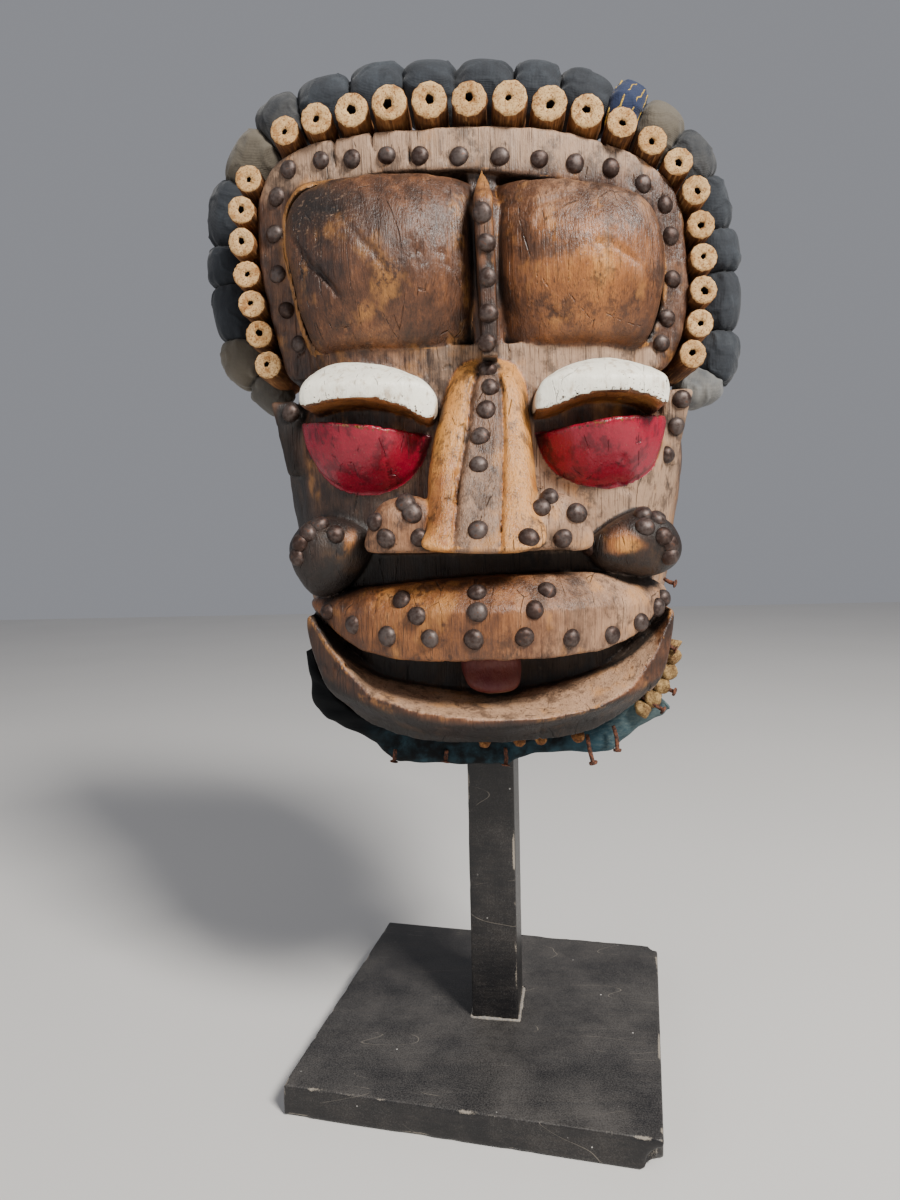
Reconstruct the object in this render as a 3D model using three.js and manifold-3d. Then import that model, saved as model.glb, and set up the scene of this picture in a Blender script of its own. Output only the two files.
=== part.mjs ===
// A carved wooden mask with studs, a crown of sticks and a stuffed cloth roll, on its block stand.
// Millimetres. The mask looks along -Y, +Z is up, and the origin is the centre of the stand's underside.
import * as THREE from 'three';
import { mergeVertices } from 'three/addons/utils/BufferGeometryUtils.js';
import Module from 'manifold-3d';

const wasm = await Module();
wasm.setup();

// The stand
const baseWidth = 200;
const baseDepth = 190;
const baseThickness = 17;
const baseTurn = -11.1;
const baseChip = 7; // leg of the corner that is broken off
const postWidth = 28;
const postDepth = 36;
const postLength = 481.5;
const postTurn = -7.4;
const postAside = 2; // from the middle of the plate
const postBehind = 5;
const fitGap = 0.3; // between pieces that touch
const chinClearance = 2; // between the post and the chin's back edge

// The wood of the mask
const maskWidth = 232;
const maskHeight = 315;
const frontDepth = 120; // from the depth origin to the tip of the nose
const rimDepth = 28; // from the depth origin back to the rim
const wall = 16; // of the hollow's sides
const faceWall = 30; // of the hollow's front
const panelThickness = 22;
const panelRadius = 340; // the forehead panel's bend in plan
const grooveDepth = 12; // between the panel's border and its two lobes
const lipThickness = 30;
const ridgeWidth = 9.2; // between the lobes
const noseWidth = 52; // at its foot
const noseTopWidth = 36;
const noseBand = 22; // the raised band down the nose
const noseBandOut = 4;
const tongueWidth = 27;
const tongueThickness = 19;
const templeWidth = 14;
const tackWidth = 9.5;
const tackHeight = 3.2;
const tackSink = 1.2;
const tackSides = 5;
const tackPitch = 18.6; // along the panel's border
const tackInset = 11; // from the panel's edge

// The crown
const sideStick = 15.4; // diameters
const topStick = 18.9;
const stickLength = 54;
const stickProud = 5; // the sticks' front ends, in front of the panel
const stickGap = 1.2;
const cornerGap = 14; // where the left column starts under the top row
const rollTop = 16.8; // radii of the cloth roll
const rollSide = 12.6;
const rollSlack = 1; // between the roll and the sticks
const rollDepth = 14; // the roll's middle over the brow, from the depth origin
const rollRadius = 500; // its bend in plan
const rollCurl = 0.045; // the share of its length at each end that turns in under the lowest stick
const lobeLength = 28;
const lobeDip = 0.14; // how far the roll narrows between two lobes, as a share

// The strip round the jaw
const stripWidth = 30;
const stripThickness = 5;
const stripDrop = 22; // how far it hangs under the chin
const stripDepth = 36;
const ropeWidth = 8;
const ropeOut = 9; // the rope's middle, outside the jaw's edge
const ropeStart = 0.075; // shares of the way round the wood, from the chin
const ropeEnd = 0.125;

// The carving is laid out on a grid of 232 by 315 by 120 squares, which are the wood's width, its height,
// and its depth in front of the depth origin.
const X = (u) => (u * maskWidth) / 232;
const Z = (w) => (w * maskHeight) / 315;
const Y = (v) => (v * frontDepth) / 120;
const degrees = Math.PI / 180;

// Turns a closed geometry into a solid.
function solid(geometry) {
  geometry.deleteAttribute('normal');
  geometry.deleteAttribute('uv');
  const merged = mergeVertices(geometry, 1e-3);
  const points = new Float32Array(merged.attributes.position.array);
  const kept = [];
  const index = merged.index.array;
  for (let i = 0; i < index.length; i += 3) {
    const [a, b, c] = [index[i], index[i + 1], index[i + 2]];
    if (a !== b && b !== c && c !== a) kept.push(a, b, c);
  }
  const at = (i) => new THREE.Vector3().fromArray(points, 3 * i);
  let volume = 0;
  for (let i = 0; i < kept.length; i += 3) volume += at(kept[i]).dot(at(kept[i + 1]).cross(at(kept[i + 2])));
  if (volume < 0) kept.reverse();
  const mesh = new wasm.Mesh({ numProp: 3, vertProperties: points, triVerts: new Uint32Array(kept) });
  return new wasm.Manifold(mesh);
}

// Turns a solid back into a geometry.
function geometryOf(body) {
  const mesh = body.getMesh();
  const geometry = new THREE.BufferGeometry();
  geometry.setAttribute('position', new THREE.BufferAttribute(new Float32Array(mesh.vertProperties), 3));
  geometry.setIndex(new THREE.BufferAttribute(new Uint32Array(mesh.triVerts), 1));
  return geometry;
}

// A closed cylinder with its points moved: t runs 0 to 1 along it, a runs round it,
// and r is 0 on its axis and 1 on its skin.
function moved(sides, steps, place) {
  const geometry = new THREE.CylinderGeometry(1, 1, 1, sides, steps);
  const p = geometry.attributes.position;
  for (let i = 0; i < p.count; i++) {
    const r = Math.hypot(p.getX(i), p.getZ(i)) < 0.5 ? 0 : 1;
    const a = r ? Math.atan2(p.getZ(i), p.getX(i)) : 0;
    p.setXYZ(i, ...place(p.getY(i) + 0.5, a, r));
  }
  return solid(geometry);
}

const mix = (a, b, t) => a + (b - a) * t;
const smooth = (a, b, v) => {
  const t = Math.min(1, Math.max(0, (v - a) / (b - a)));
  return t * t * (3 - 2 * t);
};

// A smooth closed outline through a few points of the carving's grid.
function outline(points) {
  const knots = points.map(([u, w]) => new THREE.Vector3(X(u), 0, Z(w)));
  const curve = new THREE.CatmullRomCurve3(knots, true, 'centripetal');
  curve.arcLengthDivisions = 400;
  return curve;
}

// The outline's point at a share of its length, moved outward by a distance.
function beside(curve, share, distance) {
  const s = ((share % 1) + 1) % 1;
  const p = curve.getPointAt(s);
  const d = curve.getTangentAt(s);
  return new THREE.Vector3(p.x + d.z * distance, 0, p.z - d.x * distance);
}

// A slab with a crowned front: each ring of the profile is a share of the outline's size,
// and a share of the depth from back to front.
function slab(curve, sides, profile, depthAt, inset = 0) {
  const middle = new THREE.Vector3();
  for (let i = 0; i < sides; i++) middle.addScaledVector(beside(curve, i / sides, -inset), 1 / sides);
  return moved(sides, profile.length - 1, (t, a, r) => {
    const [size, share] = profile[Math.round(t * (profile.length - 1))];
    const p = beside(curve, a / (2 * Math.PI), -inset).lerp(middle, 1 - size * r);
    return [p.x, depthAt(p.x, p.z, share), p.z];
  });
}

// A bar whose section changes along it.
function bar(sides, steps, middleAt, acrossAt, throughAt) {
  return moved(sides, steps, (t, a, r) => {
    const p = middleAt(t).clone();
    p.addScaledVector(acrossAt(t), r * Math.cos(a));
    return p.addScaledVector(throughAt(t), r * Math.sin(a)).toArray();
  });
}

// Outlines, all seen from the front, anticlockwise from the chin
const woodOutline = outline([
  [0, 0], [36, 1], [64, 10], [84, 30], [95, 54], [104, 80], [108, 112], [113, 146], [111, 166],
  [101, 184], [102, 215], [106, 240], [104, 268], [88, 289], [52, 305], [-14, 312], [-62, 312],
  [-100, 307], [-115, 290], [-117, 262], [-112, 226], [-106, 190], [-114, 164], [-112, 132],
  [-108, 100], [-101, 68], [-90, 38], [-68, 12], [-36, 1],
]);
const panelOutline = outline([
  [-4, 192], [50, 190], [90, 192], [101, 198], [107, 214], [109, 240], [108, 264], [103, 284],
  [90, 296], [60, 308], [20, 314], [-30, 316], [-78, 315], [-103, 310], [-117, 296], [-121, 276],
  [-119, 250], [-114, 224], [-108, 202], [-100, 195], [-60, 193],
]);
const recessOutline = outline([
  [0, 191], [60, 190], [86, 191], [92, 214], [96, 244], [90, 270], [76, 281], [46, 288], [0, 294],
  [-50, 295], [-84, 292], [-101, 282], [-104, 262], [-98, 226], [-88, 191], [-60, 190],
]);
const leftLobe = outline([
  [-50, 198], [-8, 197], [-3, 206], [-2, 240], [-4, 276], [-16, 286], [-50, 289], [-84, 284],
  [-95, 272], [-97, 248], [-93, 222], [-86, 203],
]);
const rightLobe = outline([
  [46, 197], [76, 199], [84, 206], [88, 226], [90, 246], [84, 264], [70, 276], [40, 283], [14, 284],
  [8, 274], [6, 240], [7, 206], [12, 197],
]);
const leftLid = outline([
  [-62, 174], [-38, 167], [-26, 162], [-25, 172], [-33, 183], [-50, 193], [-68, 196], [-82, 193],
  [-91, 182], [-88, 176],
]);
const rightLid = outline([
  [56, 176], [78, 175], [88, 172], [87, 180], [81, 189], [66, 193], [50, 191], [34, 185], [24, 176],
  [26, 168], [38, 172],
]);
const leftEye = outline([
  [-66, 127], [-46, 131], [-37, 142], [-31, 158], [-44, 164], [-62, 168], [-80, 168], [-91, 164],
  [-89, 148], [-80, 134],
]);
const rightEye = outline([
  [48, 131], [66, 133], [80, 140], [89, 156], [86, 164], [68, 168], [48, 167], [28, 161], [26, 146],
  [34, 134],
]);
const leftNostril = outline([
  [-42, 96], [-27, 97], [-20, 108], [-26, 121], [-38, 125], [-50, 120], [-56, 110], [-56, 98],
]);
const rightNostril = outline([
  [36, 97], [48, 97], [49, 110], [42, 120], [30, 124], [20, 118], [16, 106], [20, 98],
]);
const leftHorn = outline([
  [-82, 76], [-70, 84], [-62, 98], [-67, 109], [-77, 116], [-88, 115], [-98, 108], [-102, 100],
  [-98, 88], [-92, 80],
]);
const rightHorn = outline([
  [72, 83], [90, 86], [97, 92], [97, 99], [92, 108], [84, 115], [74, 116], [62, 111], [51, 100],
  [54, 88],
]);
const upperLip = outline([
  [0, 46], [44, 46], [64, 48], [80, 56], [92, 68], [94, 77], [82, 84], [50, 87], [0, 88], [-48, 86],
  [-80, 82], [-94, 77], [-92, 68], [-80, 55], [-62, 47], [-40, 46],
]);
const mouth = outline([
  [0, 27], [36, 29], [56, 35], [72, 49], [84, 62], [70, 54], [44, 47], [0, 46], [-40, 47], [-68, 52],
  [-84, 62], [-74, 43], [-56, 33], [-36, 29],
]);

// How far forward the surfaces of the face stand from the depth origin, in the grid's squares
const buried = 40; // backs of the raised forms, inside the wood
const clearOf = 130; // in front of everything, for cuts
const shellOut = 68;
const panelOut = 60;
const lobeOut = 86;
const ridgeOut = 87;
const lidTopOut = 74;
const lidFootOut = 95;
const eyeFootOut = 64;
const eyeTopOut = 90;
const noseTopOut = 76;
const noseTipOut = 116;
const nostrilOut = 103;
const hornOut = 91;
const lipOut = 110;
const lipEndOut = 60;
const lipHalf = 96;
const tongueOut = 100;
const mouthFloor = 58;
const panelFront = (x) => -Y(panelOut) + (x * x) / (2 * panelRadius);
const lipFront = (x) => mix(-Y(lipOut), -Y(lipEndOut), (x / X(lipHalf)) ** 2);

// The wood, from the hollow shell outward
const shellProfile = [
  [0.8, 0], [1, 0], [1, 0.32], [0.985, 0.5], [0.95, 0.68], [0.86, 0.84], [0.7, 0.93], [0.42, 0.99], [0.2, 1],
];
const hollowProfile = [[1, 0], [1, 0.74], [0.95, 0.82], [0.84, 0.88], [0.66, 0.93], [0.4, 0.99], [0.2, 1]];
const shellFront = -Y(shellOut);
const postReach = (postDepth * Math.cos(postTurn * degrees) - postWidth * Math.sin(postTurn * degrees)) / 2;
const postFront = postBehind - postReach;
const rimAt = (z) => mix(postFront - chinClearance, rimDepth, smooth(Z(36), Z(120), z));
let wood = slab(woodOutline, 32, shellProfile, (x, z, s) => mix(rimAt(z), shellFront, s));

function add(shape) {
  wood = wood.add(shape);
}
function cutAway(shape) {
  wood = wood.subtract(shape);
}

const rounded = [[1, 0], [1, 0.72], [0.985, 0.93], [0.96, 1], [0.5, 1]];
add(slab(panelOutline, 32, rounded, (x, z, s) => panelFront(x) + panelThickness * (1 - s)));
const cut = [[1, 0], [0.98, 1], [0.5, 1]];
cutAway(slab(recessOutline, 24, cut, (x, z, s) => mix(panelFront(x) + grooveDepth, -Y(clearOf), 1 - s)));

const dome = [[1, 0], [1, 0.35], [0.94, 0.62], [0.78, 0.86], [0.4, 1]];
for (const lobe of [leftLobe, rightLobe]) add(slab(lobe, 18, dome, (x, z, s) => mix(-Y(buried), -Y(lobeOut), s)));
const ridgeTop = Z(287);
const ridgeFoot = Z(188);
add(bar(8, 5,
  (t) => new THREE.Vector3(X(mix(4, 2, t)), -Y(shellOut - 10), mix(ridgeFoot, ridgeTop, t)),
  (t) => new THREE.Vector3((ridgeWidth / 2) * (1 - smooth(0.8, 1.05, t)), 0, 0),
  (t) => new THREE.Vector3(0, -Y(ridgeOut - shellOut + 10) * (1 - 0.5 * smooth(0.75, 1, t)), 0)));

// Lids are awnings over half-round eyes
const lidProfile = [[1, 0], [1, 0.8], [0.93, 0.97], [0.7, 1], [0.3, 1]];
const lidFront = (z) => -Y(mix(lidTopOut, lidFootOut, smooth(Z(197), Z(172), z)));
for (const lid of [leftLid, rightLid]) add(slab(lid, 16, lidProfile, (x, z, s) => mix(-Y(buried), lidFront(z), s)));
const eyeFront = (z) => -Y(mix(eyeFootOut, eyeTopOut, smooth(Z(122), Z(152), z)));
for (const eye of [leftEye, rightEye]) add(slab(eye, 16, dome, (x, z, s) => mix(-Y(buried), eyeFront(z), s)));

// The nose widens and stands out further towards its tip
const noseTop = Z(191);
const noseFoot = Z(101);
const noseMiddle = (t) => X(mix(-1, 2, t));
const noseTip = (t) => mix(-Y(noseTipOut), -Y(noseTopOut), t ** 0.8);
const squared = (v, power) => Math.sign(v) * Math.abs(v) ** power;
function wedge(halfWidth, lift, foot, top) {
  return moved(14, 6, (t, a, r) => {
    const across = r * squared(Math.cos(a), 0.6) * halfWidth(t);
    const forward = r * Math.max(0, squared(Math.sin(a), 0.7));
    return [noseMiddle(t) + across, mix(-Y(buried), noseTip(t) - lift, forward), mix(foot, top, t)];
  });
}
add(wedge((t) => mix(noseWidth, noseTopWidth, smooth(0, 0.9, t)) / 2, 0, noseFoot, noseTop));
add(wedge((t) => (noseBand / 2) * mix(1, 0.75, t), noseBandOut, noseFoot, noseTop - Z(14)));
const block = [[1, 0], [1, 0.6], [0.93, 0.85], [0.75, 0.97], [0.35, 1]];
for (const nostril of [leftNostril, rightNostril]) {
  add(slab(nostril, 12, block, (x, z, s) => mix(-Y(buried), -Y(nostrilOut), s)));
}
for (const horn of [leftHorn, rightHorn]) {
  add(slab(horn, 14, block, (x, z, s) => mix(-Y(buried), -Y(hornOut), s)));
}

// The lips stand round the open mouth
add(slab(upperLip, 26, block, (x, z, s) => lipFront(x) + lipThickness * (1 - s)));
const jawLine = new THREE.CatmullRomCurve3(
  [
    [-90, 52, 60], [-85, 64, 42], [-68, 78, 27], [-36, 84, 19], [0, 87, 18],
    [36, 84, 19], [66, 78, 25], [83, 64, 38], [91, 52, 58],
  ].map(([u, v, w]) => new THREE.Vector3(X(u), -Y(v), Z(w))));
const jawSpread = (t) => mix(12.5, 7, smooth(0.25, 0.5, Math.abs(t - 0.5)));
const jawThrough = 19;
add(bar(8, 14,
  (t) => jawLine.getPointAt(t),
  (t) => {
    const d = jawLine.getTangentAt(t);
    return new THREE.Vector3(-d.z, 0, d.x).normalize().multiplyScalar(Z(jawSpread(t)));
  },
  () => new THREE.Vector3(0, Y(jawThrough), 0)));

// The hollow is open to the back, the mouth is a deep recess, and the tongue fills its middle
const hollowBack = rimDepth + 6;
cutAway(slab(woodOutline, 28, hollowProfile, (x, z, s) => mix(hollowBack, shellFront + faceWall, s), wall));
cutAway(slab(mouth, 24, cut, (x, z, s) => mix(-Y(mouthFloor), -Y(clearOf), s)));
const tongue = bar(10, 3,
  (t) => new THREE.Vector3(X(1.5), mix(-Y(mouthFloor - 4), -Y(tongueOut), t), Z(33)),
  (t) => new THREE.Vector3(tongueWidth / 2, 0, 0).multiplyScalar(1 - 0.25 * smooth(0.8, 1, t)),
  () => new THREE.Vector3(0, 0, tongueThickness / 2));
add(tongue);

// Raised strips on the temples
for (const side of [-1, 1]) {
  add(bar(6, 4,
    (t) => new THREE.Vector3(side * X(mix(98, 106, t)) - X(2), -Y(buried), Z(mix(140, 182, t))),
    () => new THREE.Vector3(templeWidth / 2, 0, 0),
    () => new THREE.Vector3(0, Y(14), 0)));
}

// Studs stand on the surface where a line from the front meets it
const studded = new THREE.Mesh(geometryOf(wood), new THREE.MeshBasicMaterial());
const caster = new THREE.Raycaster();
function stud(x, z) {
  caster.set(new THREE.Vector3(x, -2 * frontDepth, z), new THREE.Vector3(0, 1, 0));
  const [hit] = caster.intersectObject(studded);
  if (!hit) return;
  const head = new THREE.CylinderGeometry(tackWidth * 0.36, tackWidth * 0.56, tackHeight + tackSink, tackSides);
  head.translate(0, (tackHeight - tackSink) / 2, 0);
  head.applyQuaternion(new THREE.Quaternion().setFromUnitVectors(new THREE.Vector3(0, 1, 0), hit.face.normal));
  head.translate(hit.point.x, hit.point.y, hit.point.z);
  add(solid(head));
}

// Shares of an outline between which a condition holds are walked in even steps.
function sharesWhere(curve, keeps) {
  const shares = [];
  for (let i = 0; i <= 800; i++) if (keeps(curve.getPointAt(i / 800))) shares.push(i / 800);
  return [shares[0], shares[shares.length - 1]];
}
const [borderStart, borderEnd] = sharesWhere(panelOutline, (p) => p.z > Z(206));
const borderLength = (borderEnd - borderStart) * panelOutline.getLength();
const borderTacks = Math.round((borderLength - 3 * tackInset) / tackPitch);
for (let i = 0; i <= borderTacks; i++) {
  const p = beside(panelOutline, mix(borderStart, borderEnd, i / borderTacks), -tackInset);
  stud(p.x, p.z);
}
const tacks = [
  [1, 260], [3, 246], [3, 230], [3, 213], [2, 199], // on the ridge
  [2, 178], [1, 164], [-2, 152], [-3, 139], [-4, 109], // down the nose
  [26, 119], [20, 105], [36, 104], [43, 114], [-48, 106], [-32, 106], [-35, 118], [-49, 115], // on the nostrils
  [-74, 109], [-84, 112], [-93, 107], [-97, 99], [70, 108], [80, 111], [90, 104], [94, 96], // round the horns
  [-88, 71], [-80, 65], [-67, 62], [-50, 57], [-41, 77], [-34, 68], [-28, 56], // on the upper lip
  [-5, 81], [-5, 69], [-7, 56], [28, 80], [22, 69], [17, 56], [39, 55], [61, 58], [75, 63], [86, 70],
  [103, 174], [100, 160], [96, 147], [-107, 176], // on the temples
];
for (const [u, w] of tacks) stud(X(u), Z(w));

// The crown of sticks lies round the panel's edge, thickest over the middle of the brow
const level = (share) => smooth(0.35, 0.8, Math.abs(panelOutline.getTangentAt(share).x));
const inward = (share) => smooth(X(115), X(30), Math.abs(panelOutline.getPointAt(share).x + X(10)));
const radiusAt = (share) => mix(sideStick, topStick, level(share) * inward(share)) / 2;
const [crownStart, crownEnd] = sharesWhere(panelOutline, (p) => p.z > Z(202));
const stickPlaces = [];
let cornerTurned = false;
for (let share = crownStart; share <= crownEnd; share += 0.0005) {
  const radius = radiusAt(share);
  const place = beside(panelOutline, share, radius + fitGap);
  const last = stickPlaces[stickPlaces.length - 1];
  const corner = !cornerTurned && last && last.place.x < -X(88);
  const gap = corner ? cornerGap : stickGap;
  if (!last || place.distanceTo(last.place) >= radius + last.radius + gap) {
    stickPlaces.push({ place, radius });
    cornerTurned ||= corner;
  }
}
const wobble = (i, k) => Math.sin(i * 12.9898 + k * 78.233) * 0.5 + Math.sin(i * 4.1 + k * 9.7) * 0.5;

// The roll is bound on outside the sticks
const rollInside = (share) => 2 * radiusAt(share) + fitGap + rollSlack;
const rollLine = (share, radius) => beside(panelOutline, share, rollInside(share) + radius);
const rollSize = (share) => mix(rollSide, rollTop, level(share));
const rollMiddle = (x) => -rollDepth + (x * x) / (2 * rollRadius);
const [rollStart, rollEnd] = sharesWhere(panelOutline, (p) => p.z > Z(196));
const rollLength = (rollEnd - rollStart) * panelOutline.getLength() * 1.25;
const lobes = Math.round(rollLength / lobeLength);
const stepsPerLobe = 3;
function rollSection(t) {
  const share = mix(rollStart, rollEnd, t);
  const radius = rollSize(share);
  const swell = 1 - lobeDip + lobeDip * Math.abs(Math.sin(Math.PI * t * lobes));
  const ends = mix(0.5, 1, smooth(0, 0.05, Math.min(t, 1 - t)));
  return { share, radius, size: radius * swell * ends };
}
const rollEnds = [X(118), -X(128)].map((x) => new THREE.Vector3(x, rollMiddle(x), Z(184)));
const roll = bar(7, lobes * stepsPerLobe,
  (t) => {
    const { share, radius } = rollSection(t);
    const p = rollLine(share, radius);
    p.y = rollMiddle(p.x);
    const curl = 1 - smooth(0, rollCurl, Math.min(t, 1 - t));
    return p.lerp(rollEnds[Math.round(t)], curl);
  },
  (t) => {
    const { share, size } = rollSection(t);
    const d = panelOutline.getTangentAt(share);
    return new THREE.Vector3(d.z, 0, -d.x).multiplyScalar(size);
  },
  (t) => new THREE.Vector3(0, rollSection(t).size, 0));

// The strip and the rope follow the jaw's edge
const [stripStart, stripEnd] = [-1, 1].map((side) => {
  const shares = [];
  for (let i = -200; i <= 200; i++) {
    const p = woodOutline.getPointAt(((i / 800 % 1) + 1) % 1);
    if (p.z < Z(40)) shares.push(i / 800);
  }
  return side < 0 ? shares[0] : shares[shares.length - 1];
});
const stripHalf = (t) => mix(stripThickness, stripDrop, smooth(0.5, 0.22, Math.abs(t - 0.5))) / 2;
const stripLine = (t) => mix(stripStart, stripEnd, t);
const strip = bar(8, 16,
  (t) => beside(woodOutline, stripLine(t), fitGap + stripHalf(t)).add(new THREE.Vector3(0, -stripDepth, 0)),
  (t) => {
    const d = woodOutline.getTangentAt(((stripLine(t) % 1) + 1) % 1);
    return new THREE.Vector3(d.z, 0, -d.x).multiplyScalar(stripHalf(t));
  },
  () => new THREE.Vector3(0, stripWidth / 2, 0));
const ropeLine = (t) => mix(ropeStart, ropeEnd, t);
const ropeDepth = stripDepth + stripWidth / 2 + fitGap + ropeWidth / 2;
const rope = bar(6, 8,
  (t) => beside(woodOutline, ropeLine(t), ropeOut).add(new THREE.Vector3(0, -ropeDepth, 0)),
  (t) => {
    const d = woodOutline.getTangentAt(ropeLine(t));
    return new THREE.Vector3(d.z, 0, -d.x).multiplyScalar(ropeWidth / 2);
  },
  () => new THREE.Vector3(0, ropeWidth / 2, 0));

// The post's top carries the hollow's ceiling
let ceiling = Infinity;
for (let i = 0; i <= 400; i++) {
  const p = beside(woodOutline, i / 400, -wall);
  const overPost = p.z > Z(200) && Math.abs(p.x - postAside) < Math.hypot(postWidth, postDepth) / 2;
  if (overPost) ceiling = Math.min(ceiling, p.z);
}
const maskFoot = baseThickness + fitGap + postLength + fitGap - ceiling - 0.4;

// Materials
const look = (color, roughness) => new THREE.MeshStandardMaterial({ color, roughness, metalness: 0 });
const carvedWood = look(0x8a5a35, 0.7);
const blackPaint = look(0x1d1a18, 0.6);
const straw = look(0xb98a4e, 0.8);
const darkCloth = look(0x2a2c33, 0.95);
const stripCloth = look(0x2b3434, 0.95);
const fibre = look(0x8c7a5c, 0.95);

const model = new THREE.Group();
function put(parent, name, geometry, material) {
  const mesh = new THREE.Mesh(geometry, material);
  mesh.name = name;
  parent.add(mesh);
  return mesh;
}

const chip = new THREE.CylinderGeometry(baseChip, baseChip, 3 * baseThickness, 4);
chip.rotateX(Math.PI / 2);
chip.translate(baseWidth / 2 + baseChip * 0.35, -baseDepth / 2 - baseChip * 0.35, 0);
const plate = new THREE.BoxGeometry(baseWidth, baseDepth, baseThickness);
plate.translate(0, 0, baseThickness / 2);
const base = put(model, 'stand_base', geometryOf(solid(plate).subtract(solid(chip))), blackPaint);
base.rotation.z = baseTurn * degrees;
const post = put(model, 'stand_post', new THREE.BoxGeometry(postWidth, postDepth, postLength), blackPaint);
post.position.set(postAside, postBehind, baseThickness + fitGap + postLength / 2);
post.rotation.z = postTurn * degrees;

const mask = new THREE.Group();
mask.position.z = maskFoot;
model.add(mask);
put(mask, 'mask_body', geometryOf(wood), carvedWood);
put(mask, 'cloth_roll', geometryOf(roll), darkCloth);
put(mask, 'jaw_strip', geometryOf(strip), stripCloth);
put(mask, 'jaw_rope', geometryOf(rope), fibre);
stickPlaces.forEach(({ place, radius }, i) => {
  const name = 'stick_' + String(i + 1).padStart(2, '0');
  const geometry = new THREE.CylinderGeometry(radius, radius * 0.96, stickLength, 8);
  const stick = put(mask, name, geometry, straw);
  stick.position.set(place.x, panelFront(place.x) - stickProud + stickLength / 2 + 2 * wobble(i, 1), place.z);
});

export default model;
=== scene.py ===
import math

import bmesh
import bpy
import numpy as np
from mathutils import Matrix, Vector
from mathutils.bvhtree import BVHTree


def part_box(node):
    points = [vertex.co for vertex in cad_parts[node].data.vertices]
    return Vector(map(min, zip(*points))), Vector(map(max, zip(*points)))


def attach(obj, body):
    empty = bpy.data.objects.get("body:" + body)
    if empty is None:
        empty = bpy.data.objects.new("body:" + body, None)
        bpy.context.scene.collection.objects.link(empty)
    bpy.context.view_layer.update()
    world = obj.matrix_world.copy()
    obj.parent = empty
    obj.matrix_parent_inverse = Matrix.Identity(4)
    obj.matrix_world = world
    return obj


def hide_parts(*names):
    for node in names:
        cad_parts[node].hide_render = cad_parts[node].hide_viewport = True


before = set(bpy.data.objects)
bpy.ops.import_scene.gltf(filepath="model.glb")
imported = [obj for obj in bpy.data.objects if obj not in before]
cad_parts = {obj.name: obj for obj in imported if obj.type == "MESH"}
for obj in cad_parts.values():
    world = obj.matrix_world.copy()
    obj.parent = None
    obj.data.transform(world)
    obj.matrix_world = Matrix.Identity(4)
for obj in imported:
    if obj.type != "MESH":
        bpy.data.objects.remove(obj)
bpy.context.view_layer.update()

# A carved mask with studs, a crown of sticks and a tied cloth roll, on a black block stand.
# Lengths in this file are millimetres until a mesh is made; the frame itself is in metres.
mm = 0.001


def boxOf(node):
    low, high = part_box(node)
    return np.array(low) / mm, np.array(high) / mm


# Small helpers for numbers

def smooth(low, high, value):
    t = np.clip((value - low) / (high - low), 0, 1)
    return t * t * (3 - 2 * t)


def mix(a, b, t):
    return a + (b - a) * t


# The eight corners of a cell, x first
corners = [np.array([c & 1, c >> 1 & 1, c >> 2 & 1]) for c in range(8)]


# Smooth noise between -1 and 1 at points, with lumps about size across
def latticeNoise(points, size, seed):
    p = np.asarray(points, np.float32) / np.asarray(size, np.float32)
    base = np.floor(p).astype(np.int64)
    f = p - base
    f = f * f * (3 - 2 * f)
    total = np.zeros(len(p), np.float32)
    for step in corners:
        c = base + step
        h = c[:, 0] * 73856093 ^ c[:, 1] * 19349663 ^ c[:, 2] * 83492791 ^ seed * 2654435761
        h = (h ^ (h >> 13)) * 1274126177 & 0xFFFFFFF
        value = (h % 65536) / 32767.5 - 1
        weight = np.prod(np.where(step, f, 1 - f), axis=1)
        total += value * weight
    return total


def fractal(points, size, seed, octaves=3, fall=0.5):
    total, scale = 0, 1.0
    for i in range(octaves):
        total = total + scale * latticeNoise(points, np.asarray(size) * 0.5 ** i, seed + 17 * i)
        scale *= fall
    return total


# A smooth line through the points, each stretch cut into a few steps
def splineThrough(points, closed=True, each=6):
    p = np.array(points, float)
    n = len(p)
    out = []
    for i in range(n if closed else n - 1):
        if closed:
            a, b, c, d = (p[(i + k - 1) % n] for k in range(4))
        else:
            a, b, c, d = (p[min(max(i + k - 1, 0), n - 1)] for k in range(4))
        for t in np.arange(each) / each:
            out.append(0.5 * (2 * b + (c - a) * t + (2 * a - 5 * b + 4 * c - d) * t ** 2
                              + (3 * b - a - 3 * c + d) * t ** 3))
    if not closed:
        out.append(p[-1])
    return np.array(out)


# Signed distance to a smooth closed outline seen from the front, negative inside
def insideOutline(points, x, z):
    line = splineThrough(points)
    x, z = np.broadcast_arrays(x, z)
    best = np.full(x.shape, 1e9, np.float32)
    odd = np.zeros(x.shape, bool)
    for (ax, az), (bx, bz) in zip(line, np.roll(line, -1, axis=0)):
        ex, ez = bx - ax, bz - az
        px, pz = x - ax, z - az
        t = np.clip((px * ex + pz * ez) / (ex * ex + ez * ez + 1e-9), 0, 1)
        best = np.minimum(best, (px - ex * t) ** 2 + (pz - ez * t) ** 2)
        crosses = (az > z) != (bz > z)
        if az != bz:
            odd ^= crosses & (x < ax + ex * (z - az) / (bz - az))
    return np.where(odd, -np.sqrt(best), np.sqrt(best))


# Where two limits meet, with the edge rounded off
def roundMeet(a, b, radius):
    outer = np.sqrt(np.maximum(a + radius, 0) ** 2 + np.maximum(b + radius, 0) ** 2)
    return outer - radius + np.minimum(np.maximum(a + radius, b + radius), 0)


def softJoin(a, b, radius):
    h = np.maximum(radius - np.abs(a - b), 0) / radius
    return np.minimum(a, b) - h * h * radius / 4


def softCut(a, b, radius):
    return -softJoin(-a, b, radius)


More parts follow.
